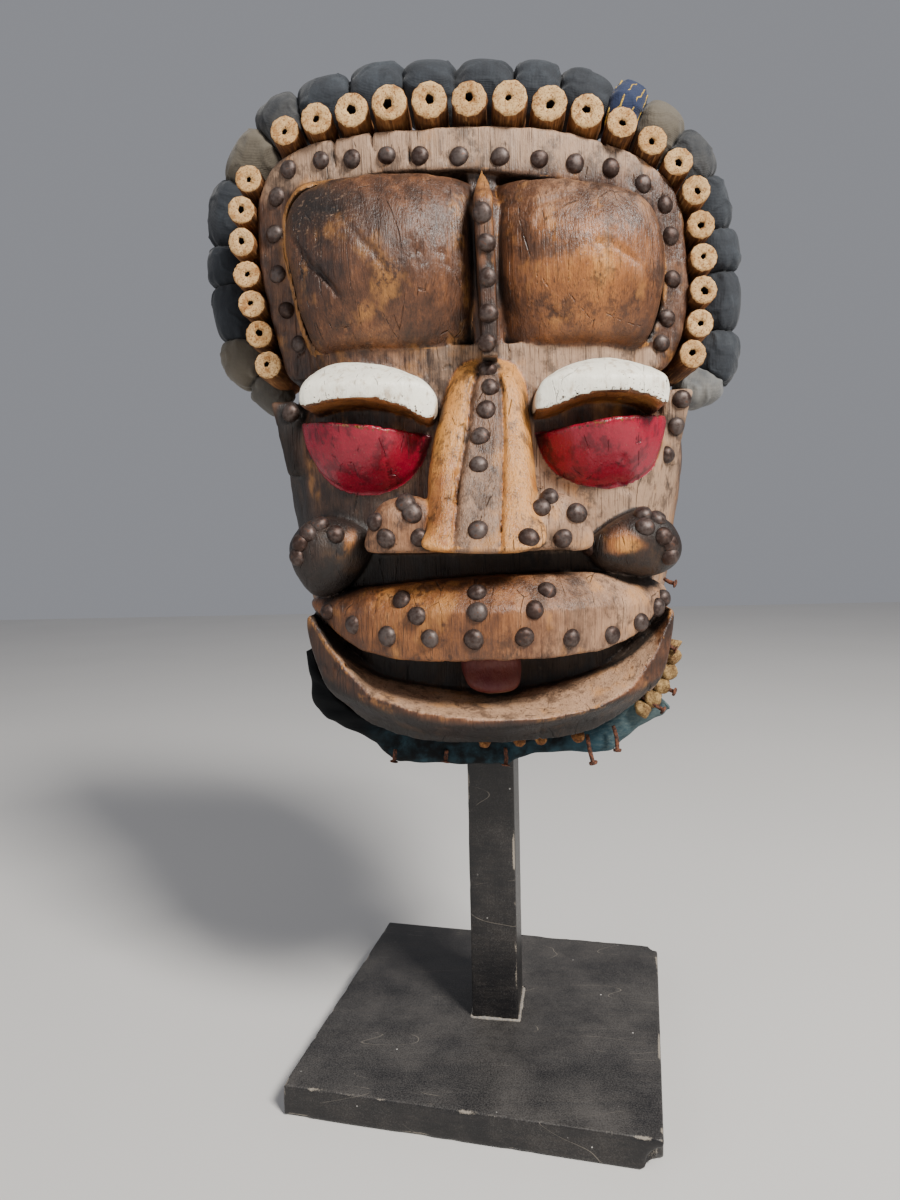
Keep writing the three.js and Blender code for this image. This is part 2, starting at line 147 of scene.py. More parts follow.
# The carving, as outlines seen from the front and depths in front of the hollow
carving = {
    "cell": 1.35,
    "low": (-131, -127, 200),
    "high": (123, 34, 527),
    "blend": 2.2,
    "rimDepth": 28,
    "recessDepth": 15,
    "wall": 16,
}
outlines = {
    "wood": [(0, 205), (36, 206), (64, 215), (84, 235), (95, 259), (104, 285), (108, 317), (113, 351),
             (111, 371), (101, 389), (102, 420), (106, 445), (104, 473), (88, 494), (52, 510),
             (-14, 517), (-62, 517), (-100, 512), (-115, 495), (-117, 467), (-112, 431), (-106, 395),
             (-114, 369), (-112, 337), (-108, 305), (-101, 273), (-90, 243), (-68, 217), (-36, 206)],
    "panel": [(-4, 397), (50, 395), (86, 396), (99, 401), (106, 416), (110, 436), (109, 460),
              (106, 482), (96, 497), (78, 507), (52, 514), (20, 518), (-30, 520), (-78, 520),
              (-101, 516), (-114, 507), (-121, 488), (-120, 461), (-116, 436), (-110, 414), (-106, 401),
              (-96, 397), (-50, 396)],
    "recess": [(0, 409), (60, 408), (84, 410), (91, 420), (95, 432), (95, 452), (92, 470), (84, 482),
               (69, 487), (46, 491), (21, 494), (0, 497), (-22, 498), (-42, 499), (-64, 498),
               (-85, 495), (-101, 487), (-103, 468), (-99, 443), (-95, 426), (-90, 415), (-84, 410),
               (-60, 409)],
    "leftLobe": [(-46, 407), (-14, 407), (-5, 411), (-3.5, 440), (-4, 484), (-9, 492), (-42, 495),
                 (-80, 493), (-97, 485), (-101, 467), (-97, 442), (-92, 424), (-87, 412), (-76, 407)],
    "rightLobe": [(46, 406), (74, 406), (86, 412), (91, 430), (93, 450), (90, 467), (81, 479),
                  (60, 485), (36, 489), (13, 491), (8.5, 484), (8, 440), (9, 411), (17, 406)],
    "leftLid": [(-88, 376), (-77, 377), (-58, 378), (-40, 374), (-27, 368), (-23, 378), (-29, 388),
                (-42, 395), (-57, 399), (-74, 400), (-86, 394), (-90, 384)],
    "rightLid": [(25, 371), (35, 372), (46, 376), (62, 378), (77, 376), (87, 372), (89, 381), (85, 390),
                 (73, 396), (54, 398), (39, 393), (27, 383)],
    "leftEye": [(-93, 380), (-93, 362), (-86, 348), (-75, 338), (-61, 333), (-47, 336), (-36, 344),
                (-29, 356), (-26, 368), (-28, 380), (-60, 386)],
    "rightEye": [(25, 380), (26, 364), (29, 352), (37, 342), (50, 336), (66, 334), (80, 340), (88, 348),
                 (92, 360), (93, 372), (91, 384), (58, 388)],
    "nose": [(-26, 305), (24, 305), (25, 326), (24, 350), (22, 372), (20, 390), (12, 399), (-8, 399),
             (-16, 390), (-21, 375), (-26, 354), (-28, 334), (-28, 316)],
    "leftNostril": [(-58, 305), (-57, 318), (-50, 328), (-36, 331), (-26, 327), (-21, 316), (-22, 305),
                    (-40, 304)],
    "rightNostril": [(50, 305), (49, 319), (42, 328), (31, 332), (22, 327), (17, 316), (17, 305),
                     (34, 304)],
    "leftHorn": [(-101, 307), (-97, 315), (-91, 321), (-80, 323), (-67, 319), (-60, 313), (-60, 302),
                 (-69, 290), (-80, 283), (-91, 283), (-98, 294)],
    "rightHorn": [(51, 306), (58, 313), (67, 319), (80, 323), (92, 317), (99, 305), (96, 295),
                  (86, 289), (67, 291), (55, 295)],
    "upperLip": [(0, 250), (44, 251), (62, 252), (77, 258), (88, 267), (95, 278), (91, 285), (70, 290),
                 (46, 292), (0, 291), (-44, 288), (-75, 284), (-92, 281), (-95, 276), (-88, 268),
                 (-77, 258), (-60, 251), (-40, 250)],
    "jaw": [(6, 208), (40, 209), (60, 214), (76, 223), (88, 236), (95, 255), (96, 271), (88, 270),
            (80, 256), (68, 246), (48, 238), (19, 233), (-5, 232), (-31, 234), (-60, 241), (-78, 254),
            (-88, 270), (-95, 270), (-92, 252), (-84, 235), (-70, 219), (-50, 211), (-26, 208)],
    "mouth": [(-95, 276), (-89, 268), (-78, 253), (-60, 239), (-31, 232), (-5, 229.5), (19, 230),
              (48, 236), (68, 244), (84, 257), (92, 270), (84, 268), (70, 258), (44, 253), (0, 252),
              (-40, 252), (-66, 257), (-86, 269)],
    "tongue": [(-13, 250), (-13, 240), (-8, 234), (4, 232), (13, 234), (16, 240), (15, 250), (1, 252)],
}


# The forehead panel bends back towards its sides
def panelFront(x):
    return -60 + x * x / 680


# 0 at an outline, rising like a dome to 1 at a distance of reach inside it
def hump(distance, reach, power=2.0):
    return 1 - (1 - np.clip(-distance / reach, 0, 1)) ** power


# A smooth dome, 1 in the middle and 0 at an even distance of reach from it
def bulge(x, z, middle, reach, power=2.6):
    u = np.abs((x - middle[0]) / reach[0]) ** power + np.abs((z - middle[1]) / reach[1]) ** power
    return 1 - np.clip(u, 0, 1) ** (2 / power)


# A slab with an outline, a front surface and a front edge rounded evenly or by height
def slab(name, front, edge, back=0.0):
    def at(x, y, z):
        side = insideOutline(outlines[name], x, z)
        limit = front(x, z, side) - y
        radius = edge(z) if callable(edge) else edge
        return np.maximum(roundMeet(side, limit, radius), y - back)
    return at


# The mask's bare form, before its features
def shellAt(x, y, z):
    side = insideOutline(outlines["wood"], x, z)
    front = -68 + 50 * (1 - np.clip(-side / 50, 0, 1)) ** 2.6
    rim = mix(-16.4, carving["rimDepth"], smooth(241, 325, z))
    return np.maximum(roundMeet(side, front - y, 3), roundMeet(side, y - rim, 2.5))


def hollowAt(x, y, z):
    side = insideOutline(outlines["wood"], x, z) + carving["wall"]
    front = -38 + 34 * (1 - np.clip(-side / 40, 0, 1)) ** 2.4
    return roundMeet(side, front - y, 6)


# A front at a depth, bulging towards the viewer round its middle
def domed(depth, rise, middle, reach, power=2.6):
    return lambda x, z, side: depth - rise * bulge(x, z, middle, reach, power)


# A rounding that grows from least to most between two heights
def growing(least, most, low, high):
    return lambda z: mix(least, most, smooth(low, high, z))


def lidFront(middle):
    return lambda x, z, side: -79 - 18 * smooth(401, 384, z) + 7 * ((x - middle) / 34) ** 2


def noseFront(z):
    return mix(-117, -77, np.clip((z - 305) / 90, 0, 1) ** 0.85)


def lipFront(x, z, side):
    return -109 + 49 * (x / 96) ** 2 + 9 * smooth(274, 291, z) - 2 * hump(side, 18)


def jawReach(x):
    return -104 + 35 * (x / 95) ** 2


# Height over the jaw's curved underside
def jawHeight(x, z):
    return z - 0.0022 * x * x


# The tongue is domed across, and comes forward as it drops
def tongueFront(x, z, side):
    return -78 - 7 * (1 - ((x - 1) / 17) ** 2) - 4 * smooth(246, 236, z)


# The flat tops of the eyes drop towards the nose
def eyeTop(x):
    return np.where(x > 0, 362 + (x - 27) / 8, 371.5 - (x + 91) / 7)


def ridgeMiddle(z):
    return mix(3.5, 1.5, smooth(400, 492, z))


lidEdge = growing(1.0, 5.5, 381, 390)
nostrilEdge = growing(1.2, 6.0, 307, 316)
features = {
    "panel": slab("panel", lambda x, z, side: panelFront(x), 2.2, -20),
    "leftLobe": slab("leftLobe", domed(-60, 27, (-48, 450), (58, 56)), 6.0, -30),
    "rightLobe": slab("rightLobe", domed(-59, 27, (49, 447), (52, 54)), 6.0, -30),
    "leftLid": slab("leftLid", lidFront(-58), lidEdge, -45),
    "rightLid": slab("rightLid", lidFront(56), lidEdge, -45),
    "leftEye": slab("leftEye", domed(-62, 31, (-60, 374), (37, 44), 2.4), 3.0, -45),
    "rightEye": slab("rightEye", domed(-62, 31, (58, 374), (37, 44), 2.4), 3.0, -45),
    "nose": slab("nose", lambda x, z, side: noseFront(z), growing(2.5, 11.0, 306, 322), -45),
    "leftNostril": slab("leftNostril", domed(-97, 7, (-40, 314), (20, 20)), nostrilEdge, -45),
    "rightNostril": slab("rightNostril", domed(-97, 7, (34, 314), (20, 20)), nostrilEdge, -45),
    "leftHorn": slab("leftHorn", domed(-78, 13, (-82, 306), (24, 22)), 8.0, -40),
    "rightHorn": slab("rightHorn", domed(-75, 14, (72, 306), (30, 20)), 7.0, -40),
    "upperLip": slab("upperLip", lipFront, growing(1.3, 6.0, 262, 276), -50),
    # The jaw's front is undercut below the rim of its ledge
    "jaw": slab("jaw", lambda x, z, side: jawReach(x) + 15 * smooth(221, 208, jawHeight(x, z)), 1.2, -40),
    "tongue": slab("tongue", tongueFront, 3.0, -50),
}
grooves = {
    "lines": [[(-16, 303), (-12, 342), (-8, 365), (-6, 384), (-2, 394)],
              [(6, 303), (8, 337), (9, 360), (9, 382), (7, 394)]],
    "half": 1.7,
}
ledge = {
    "inner": [(-95, 276), (-89, 269), (-78, 253), (-60, 239), (-31, 232), (-5, 229), (19, 230), (48, 236),
              (68, 244), (86, 258), (95, 272)],
    "rim": [(-93, 274), (-83, 264), (-73, 246), (-59, 233), (-37, 227), (-5, 223.5), (24, 223), (52, 225),
            (71, 234), (84, 249), (94, 268)],
    "root": -66,  # depth of its inner edge
}
splits = {
    "lines": [[(-75, 524), (-76, 512), (-74, 503)], [(-54, 524), (-55, 515), (-53, 509)],
              [(-36, 512), (-35, 502)], [(64, 520), (65, 508)], [(-14, 344), (-13, 334), (-15, 326)]],
    "half": 0.5,
    "depth": 2.6,
}


def lineX(line, z):
    x, at = np.array(line).T
    order = np.argsort(at)
    return np.interp(z, at[order], x[order])


# The V-shaped grooves either side of the nose's middle band
def grooveAt(line):
    def at(x, y, z):
        across = np.abs(x - lineX(line, z)) + 0.5 * (y - noseFront(z)) - grooves["half"]
        return np.maximum(across, np.maximum(z - 392, y + 70))
    return at


# What is above the jaw's ledge, which slopes down from the mouth to its rim
def ledgeAt(x, y, z):
    innerX, innerZ = np.array(ledge["inner"]).T
    rimX, rimZ = np.array(ledge["rim"]).T
    inner = np.interp(x, innerX, innerZ)
    rim = np.interp(x, rimX, rimZ)
    share = np.clip((ledge["root"] - y) / np.maximum(ledge["root"] - jawReach(x), 3), -0.2, 1.3)
    return np.maximum(mix(inner, rim, share) - z, y + 50)


# The wood as signed distances on a grid, joined and cut one feature at a time
class Block:

    def __init__(self, low, high, cell):
        self.axes = [np.arange(a, b, cell, dtype=np.float32) for a, b in zip(low, high)]
        self.low = np.array(low, float)
        self.cell = cell
        self.field = np.full([len(a) for a in self.axes], 9, np.float32)

    def window(self, low, high):
        return tuple(slice(int(np.searchsorted(a, l)), int(np.searchsorted(a, h)))
                     for a, l, h in zip(self.axes, low, high))

    def sample(self, at, low, high):
        w = self.window(low, high)
        x, y, z = (a[s] for a, s in zip(self.axes, w))
        return w, at(x[:, None, None], y[None, :, None], z[None, None, :]).astype(np.float32)

    def join(self, at, low, high, radius):
        w, d = self.sample(at, low, high)
        self.field[w] = softJoin(self.field[w], d, radius)

    def cut(self, at, low, high, radius):
        w, d = self.sample(at, low, high)
        self.field[w] = softCut(self.field[w], d, radius)

    # The zero surface as one vertex per crossed cell and one face per crossed edge
    def surface(self):
        f = self.field
        solid = f < 0
        n = np.array(f.shape)
        count = np.zeros(n - 1, np.int8)
        for i, j, k in corners:
            count += solid[i:n[0] - 1 + i, j:n[1] - 1 + j, k:n[2] - 1 + k]
        cells = np.argwhere((count > 0) & (count < 8))
        number = np.full(n - 1, -1, np.int32)
        number[tuple(cells.T)] = np.arange(len(cells))
        value = [f[tuple((cells + c).T)] for c in corners]
        total = np.zeros((len(cells), 3))
        hits = np.zeros(len(cells))
        for a in range(8):
            for bit in (1, 2, 4):
                b = a | bit
                if b == a:
                    continue
                va, vb = value[a], value[b]
                crossed = (va < 0) != (vb < 0)
                t = np.where(crossed, va / np.where(crossed, va - vb, 1), 0)
                total += np.where(crossed[:, None], corners[a] + (corners[b] - corners[a]) * t[:, None], 0)
                hits += crossed
        points = self.low + (cells + total / hits[:, None]) * self.cell
        faces = []
        for axis in range(3):
            u, v = (axis + 1) % 3, (axis + 2) % 3
            a = np.take(solid, np.arange(n[axis] - 1), axis)
            b = np.take(solid, np.arange(1, n[axis]), axis)
            edges = np.argwhere(a != b)
            inside = (edges[:, [u, v]] > 0).all(1) & (edges[:, [u, v]] < n[[u, v]] - 1).all(1)
            edges = edges[inside]
            around = []
            for du, dv in ((0, 0), (1, 0), (1, 1), (0, 1)):
                q = edges.copy()
                q[:, u] -= du
                q[:, v] -= dv
                around.append(number[tuple(q.T)])
            quad = np.stack(around, 1)
            flip = ~a[tuple(edges.T)]
            quad[flip] = quad[flip][:, ::-1]
            faces.append(quad)
        return points, np.concatenate(faces)


# The box round a feature's outline, between two depths
def spanOf(name, front, back, pad=11):
    x, z = np.array(outlines[name]).T
    return (x.min() - pad, front - pad, z.min() - pad), (x.max() + pad, back + pad, z.max() + pad)


def recessAt(x, y, z):
    inside = slab("recess", lambda x, z, side: -130, 0.5)
    return np.maximum(inside(x, y, z), y - panelFront(x) - carving["recessDepth"])


def jawAt(x, y, z):
    return softCut(features["jaw"](x, y, z), ledgeAt(x, y, z), 0.8)


def carve():
    block = Block(carving["low"], carving["high"], carving["cell"])
    blend = carving["blend"]

    def add(name, front, back, radius, at=None):
        block.join(at or features[name], *spanOf(name, front, back), radius)
    block.join(shellAt, carving["low"], carving["high"], 0.1)
    add("panel", -64, -20, 1.0)
    block.cut(recessAt, *spanOf("recess", -80, -40), 0.8)
    for name in ("leftLobe", "rightLobe"):
        add(name, -95, -30, 1.0)
    block.join(ridgeAt, (-14, -100, 385), (16, -40, 505), 1.5)
    for name in ("leftEye", "rightEye"):
        add(name, -95, -45, 1.2, eyeAt(name))
    for name in ("leftLid", "rightLid"):
        add(name, -102, -45, 1.2)
    for name in ("leftHorn", "rightHorn", "leftNostril", "rightNostril"):
        add(name, -108, -40, blend)
    add("nose", -122, -45, blend)
    for line in grooves["lines"]:
        block.cut(grooveAt(line), (-24, -124, 298), (18, -68, 396), 0.6)
    add("upperLip", -115, -50, blend)
    add("jaw", -112, -40, 1.0, jawAt)
    mouth = slab("mouth", lambda x, z, side: -140, 0.5, -58)
    block.cut(mouth, *spanOf("mouth", -125, -50), 2.0)
    add("tongue", -100, -50, 1.0)
    for side in (-1, 1):
        block.join(templeAt(side), (side * 108 - 20, -70, 335), (side * 108 + 20, -20, 400), 1.5)
    block.cut(hollowAt, carving["low"], carving["high"], 2.5)
    return block


# The ridge between the lobes, on a low foot that fills their valley
def ridgeAt(x, y, z):
    across = np.abs(x - ridgeMiddle(z))
    half = 4.3 * (1 - smooth(474, 497, z))
    crest = roundMeet(across - half, -86 + 18 * smooth(470, 497, z) - y, 2)
    foot = roundMeet(across - 8, -68 + 12 * smooth(474, 490, z) - y, 3)
    return np.maximum(np.minimum(crest, foot), np.maximum(398 - z, y + 40))


def eyeAt(name):
    return lambda x, y, z: roundMeet(features[name](x, y, z), z - eyeTop(x), 1.5)


# The strips over the temples, leaning out with height
def templeAt(side):
    def at(x, y, z):
        middle = side * mix(97, 106, np.clip((z - 345) / 42, 0, 1)) - 2
        across = np.abs(x - middle) - 7
        tall = np.abs(z - 366) - 20
        return roundMeet(np.maximum(across, tall), -50 - y, 3)
    return at


def meshObject(name, points, faces):
    mesh = bpy.data.meshes.new(name)
    points = np.asarray(points, np.float32) * mm
    sizes = np.array([len(f) for f in faces])
    loops = np.concatenate([np.asarray(f) for f in faces]) if isinstance(faces, list) else faces.ravel()
    mesh.vertices.add(len(points))
    mesh.vertices.foreach_set("co", points.ravel())
    mesh.loops.add(len(loops))
    mesh.loops.foreach_set("vertex_index", loops.astype(np.int32))
    mesh.polygons.add(len(sizes))
    mesh.polygons.foreach_set("loop_start", np.concatenate([[0], np.cumsum(sizes)[:-1]]).astype(np.int32))
    mesh.update(calc_edges=True)
    thing = bpy.data.objects.new(name, mesh)
    shadeSmooth(thing)
    bpy.context.scene.collection.objects.link(thing)
    return thing


def pointsOf(thing):
    found = np.empty(len(thing.data.vertices) * 3, np.float32)
    thing.data.vertices.foreach_get("co", found)
    return found.reshape(-1, 3) / mm


def normalsOf(thing):
    found = np.empty(len(thing.data.vertices) * 3, np.float32)
    thing.data.vertices.foreach_get("normal", found)
    return found.reshape(-1, 3)


def movePoints(thing, points):
    thing.data.vertices.foreach_set("co", (np.asarray(points, np.float32) * mm).ravel())
    thing.data.update()


def shadeSmooth(thing):
    thing.data.polygons.foreach_set("use_smooth", np.ones(len(thing.data.polygons), bool))


def giveFloat(thing, name, values):
    layer = thing.data.attributes.new(name, "FLOAT", "POINT")
    layer.data.foreach_set("value", np.asarray(values, np.float32))


# Every piece rides on the one body, and most stand for a node
def declare(thing, node=None):
    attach(thing, "root")
    if node:
        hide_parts(node)
    return thing


# The thing's mesh with one modifier worked into it
def applied(thing, kind, **settings):
    modifier = thing.modifiers.new(kind, kind)
    for key, value in settings.items():
        setattr(modifier, key, value)
    done = thing.evaluated_get(bpy.context.evaluated_depsgraph_get())
    mesh = bpy.data.meshes.new_from_object(done)
    thing.modifiers.clear()
    thing.data = mesh
    return thing


surface = {
    "triangles": 196000,
    "waver": 0.55,  # slow unevenness of the carver's hand
    "tool": 0.42,  # shallow adze and knife marks
    "grain": 0.16,  # raised fibres along the wood
    "crackDepth": 1.5,
    "pitDepth": 0.7,
}
# Shallow cuts across the forehead: from, to, half width and depth
gouges = [
    ((-96, 458), (-70, 432), 2.6, 1.5), ((-86, 452), (-66, 424), 2.0, 1.4),
    ((-99, 470), (-84, 446), 2.2, 1.2), ((-90, 478), (-62, 470), 3.0, 0.9),
    ((-66, 466), (-50, 446), 2.2, 0.9), ((-54, 454), (-44, 436), 2.0, 0.8),
    ((-34, 458), (-30, 440), 1.8, 0.9), ((20, 470), (48, 476), 2.6, 0.7),
    ((60, 452), (80, 440), 2.4, 0.8), ((30, 424), (44, 412), 2.0, 0.7),
    ((-78, 414), (-50, 420), 2.4, 0.7), ((66, 338), (78, 330), 2.2, 1.2),
    ((60, 333), (70, 338), 1.6, 1.2), ((4, 448), (5, 438), 2.6, 1.6),
]


# The carved surface moved by the hand's unevenness, tool marks, fibres, cracks, gouges and pits
def weather(points, normals):
    front = smooth(10, -30, points[:, 1])
    move = surface["waver"] * fractal(points, (34, 34, 40), 3, 2)
    move += surface["tool"] * latticeNoise(points, (7, 9, 11), 11)
    move += surface["grain"] * fractal(points, (2.6, 4, 46), 21, 2)
    lines = np.abs(latticeNoise(points, (11, 60, 150), 31))
    where = 0.6 * smooth(0.3, 0.7, latticeNoise(points, (26, 40, 44), 41))
    crack = smooth(0.045, 0.0, lines) * where * front
    for line in splits["lines"]:
        across = np.abs(points[:, 0] - lineX(line, points[:, 2]))
        low, high = sorted((line[0][1], line[-1][1]))
        ends = smooth(low - 1, low + 4, points[:, 2]) * smooth(high + 1, high - 4, points[:, 2])
        split = smooth(splits["half"] + 0.7, splits["half"] - 0.5, across) * ends * front
        crack = np.maximum(crack, split * splits["depth"] / surface["crackDepth"])
    move -= surface["crackDepth"] * crack
    for (x0, z0), (x1, z1), half, depth in gouges:
        dx, dz = x1 - x0, z1 - z0
        t = np.clip(((points[:, 0] - x0) * dx + (points[:, 2] - z0) * dz) / (dx * dx + dz * dz), 0, 1)
        away = np.hypot(points[:, 0] - x0 - dx * t, points[:, 2] - z0 - dz * t)
        away = away + 0.9 * latticeNoise(points, (3, 3, 3), 91)
        move -= depth * smooth(half, 0, away) * np.sin(math.pi * np.clip(t, 0.06, 0.94)) * front
    pits = smooth(0.55, 0.8, latticeNoise(points, (4, 4, 6), 51))
    pits = pits * smooth(0.0, 0.5, latticeNoise(points, (25, 25, 25), 61))
    move -= surface["pitDepth"] * pits
    return points + normals * move[:, None]


# The block's distance at any points, read between its grid's corners
def fieldAt(block, points):
    q = (points - block.low) / block.cell
    q = np.clip(q, 0, np.array(block.field.shape) - 1.001)
    base = q.astype(int)
    f = q - base
    total = np.zeros(len(points))
    for step in corners:
        weight = np.prod(np.where(step, f, 1 - f), axis=1)
        total += weight * block.field[tuple((base + step).T)]
    return total


# How enclosed each point is, from 0 in the open to 1 deep in a fold, which the wood's colour uses as painted
# shade
def occlusion(block, points, normals):
    closed = 0
    for reach, share in ((2.5, 0.35), (5, 0.35), (8, 0.3)):
        clear = fieldAt(block, points + normals * reach)
        closed = closed + share * np.clip(1 - clear / reach, 0, 1)
    return closed


# How sharply the surface turns outward at each point
def edgeWear(block, points, normals):
    under = fieldAt(block, points - normals * 3)
    return np.clip(1 + under / 3, 0, 1)


block = carve()
points, faces = block.surface()
print("carved", len(points), "points", len(faces), "faces")
mask = meshObject("maskWood", points, faces)
movePoints(mask, weather(pointsOf(mask), normalsOf(mask)))
applied(mask, "DECIMATE", ratio=surface["triangles"] / (2 * len(faces)))
points, normals = pointsOf(mask), normalsOf(mask)
shellPoints = points.T
giveFloat(mask, "occlusion", occlusion(block, points, normals))
giveFloat(mask, "wear", edgeWear(block, points, normals))

# The hollow behind the face, where no feature is painted
hollow = smooth(-0.1, 0.3, normals[:, 1]) * smooth(-58, -54, points[:, 1])


# How far each point belongs to a feature, from 0 to 1
def belongs(names, reach=1.2):
    near = np.min([features[n](*shellPoints) for n in names], axis=0)
    return smooth(reach + 0.8, reach - 0.8, near) * (1 - hollow)


# 1 in the middle, fading to 0 at the reach along x, y and z
def spot(middle, reach):
    away = np.linalg.norm((points - np.array(middle)) / np.array(reach), axis=1)
    return smooth(1, 0, away)


# Patches of tone on the wood: how much, middle, reach
patches = {
    # Warm patches: painted sheen on the lobes' middles, and the horns' bare chipped tips
    "warm": [(0.5, (50, -86, 438), (50, 30, 46)), (0.2, (-20, -86, 440), (30, 30, 50)),
             (0.9, (-67, -90, 312), (9, 16, 9)), (0.9, (68, -88, 305), (13, 16, 10))],
    "grey": [(-0.4, (104, -50, 366), (16, 30, 34))],
    # Soot mixed with painted shade: the left lobe, its upper left most, the left temple and the right temple
    "sootAndShade": [(0.85, (-84, -70, 478), (42, 40, 30)), (0.45, (-50, -88, 470), (40, 20, 34)),
             (1.3, (-110, -40, 350), (24, 60, 66)), (0.3, (104, -50, 366), (16, 30, 34))],
    "scraped": [(1.0, (-80, -75, 472), (40, 40, 34))],
}


def patched(name):
    return sum(much * spot(middle, reach) for much, middle, reach in patches[name])


def paintMask():
    x, y, z = shellPoints
    left, right = x < 0, x > 0
    lids = belongs(("leftLid", "rightLid"))
    eyes = belongs(("leftEye", "rightEye")) * (1 - lids)
    valley = smooth(13, 11, np.abs(x - 2.5)) * smooth(407, 410, z) * smooth(491, 487, z)
    lobes = np.maximum(belongs(("leftLobe", "rightLobe")), valley)
    nose = belongs(("nose",))
    band = nose * (x > lineX(grooves["lines"][0], z)) * (x < lineX(grooves["lines"][1], z))
    lips = belongs(("upperLip",))
    jaw = belongs(("jaw",)) * (1 - lips)
    horns = belongs(("leftHorn", "rightHorn"))
    nostrils = belongs(("leftNostril", "rightNostril"))
    ridge = smooth(7, 5.5, np.abs(x - ridgeMiddle(z))) * smooth(398, 402, z) * smooth(-66, -70, y)
    border = belongs(("panel",)) * (1 - lobes)
    border = border * (1 - border * smooth(410, 406, z) * smooth(96, 88, np.abs(x)))
    plain = 1 - np.clip(lids + eyes + lobes + nose + lips + jaw + horns + nostrils + border + ridge, 0, 1)
    upward = np.clip(normals[:, 2], 0, 1)
    level = smooth(0.4, 0.8, normals[:, 2])
    under = smooth(-0.3, -0.7, normals[:, 2])

    giveFloat(mask, "lidPaint", lids * (1 - under) * smooth(-70, -74, y))
    giveFloat(mask, "eyePaint", eyes * smooth(-56, -60, y) * smooth(1.6, 0.6, z - eyeTop(x)))
    giveFloat(mask, "tonguePaint", belongs(("tongue",)) * (1 - jaw) * smooth(-62, -68, y))
    giveFloat(mask, "scraped", patched("scraped") * lobes)

    # Honey tones; on the jaw's upward ledge they are painted light, and the left lobe is less warm as painted
    # shade
    warm = 0.2 + 0.16 * lobes - 0.1 * lobes * left + 0.3 * lips + 0.1 * horns + 0.35 * nostrils
    warm = warm + 0.4 * jaw * upward + 0.35 * jaw * level + 0.45 * under * lids
    warm = warm + 0.75 * (nose - band) + 0.3 * nose * smooth(330, 370, z)
    giveFloat(mask, "warm", warm + patched("warm"))

    # Paler, greyer wood: dust and the nose's middle band, with painted light on faces lit from the upper
    # right: the border's top, the jaw's ledge, and the right of the lip, nostrils, cheeks, nose and lobes
    grey = 0.1 * border + 0.85 * border * smooth(490, 506, z) + 0.42 * band + 1.05 * jaw * level
    grey = grey + 0.62 * lips * smooth(-20, 70, x) + mix(0.38, 0.7, smooth(-20, 30, x)) * nostrils
    grey = grey + plain * mix(0.2, 1.05, smooth(-60, 40, x)) * smooth(-20, -50, y)
    grey = grey + 0.35 * plain * smooth(-50, -20, y) + 0.25 * nose * smooth(0, 16, x) * smooth(345, 315, z)
    grey = grey + 0.3 * lobes * smooth(0, 40, x) * smooth(450, 476, z)
    giveFloat(mask, "grey", mix(grey, 0.25, hollow) + patched("grey"))

    # Soot mixed with painted shade: darker on the ridge, on the left lobe, on faces turned down under the
    # nose and nostrils, on the jaw's front and underside, on the left cheek, under the left eye, and over the
    # horns except their chipped tips
    sootAndShade = 0.3 * ridge + 0.1 * lobes * left + patched("sootAndShade") + 0.4 * under * (nostrils + nose)
    sootAndShade = sootAndShade + jaw * (1 - upward) * (0.6 * smooth(-62, -84, x) + smooth(226, 217, jawHeight(x, z)))
    sootAndShade = sootAndShade + 0.5 * plain * smooth(-30, -80, x) * smooth(350, 330, z)
    sootAndShade = sootAndShade + 0.3 * plain * spot((-60, -70, 340), (60, 20, 30))
    sootAndShade = sootAndShade + 0.55 * horns * smooth(-0.1, -0.6, normals[:, 2])
    sootAndShade = sootAndShade + 0.8 * horns * right * (1 - spot((66, -88, 306), (15, 20, 12)))
    sootAndShade = sootAndShade + 0.95 * horns * left * (1 - spot((-67, -90, 312), (11, 18, 11)))
    # Deep shade under the nose and in the mouth
    shade = smooth(-80, -70, y) * smooth(-50, -58, y) * smooth(306, 298, z) * smooth(280, 288, z)
    mouth = smooth(2, -1, insideOutline(outlines["mouth"], x, z)) * smooth(-78, -68, y) * (1 - hollow)
    giveFloat(mask, "sootAndShade", (sootAndShade + shade + mouth) * smooth(-8, -24, y))


paintMask()
shadeSmooth(mask)
declare(mask, "mask_body")
print("mask", len(mask.data.polygons), "triangles")

# Where the viewer's eye is, for the camera and for setting the tacks
view = {
    "place": (-1.85, -485.75, 309.89),
    "turn": (85.7, 1.36, 2.32),
    "focal": 806 / 1200 * 36,  # the photograph is 900 by 1200
}
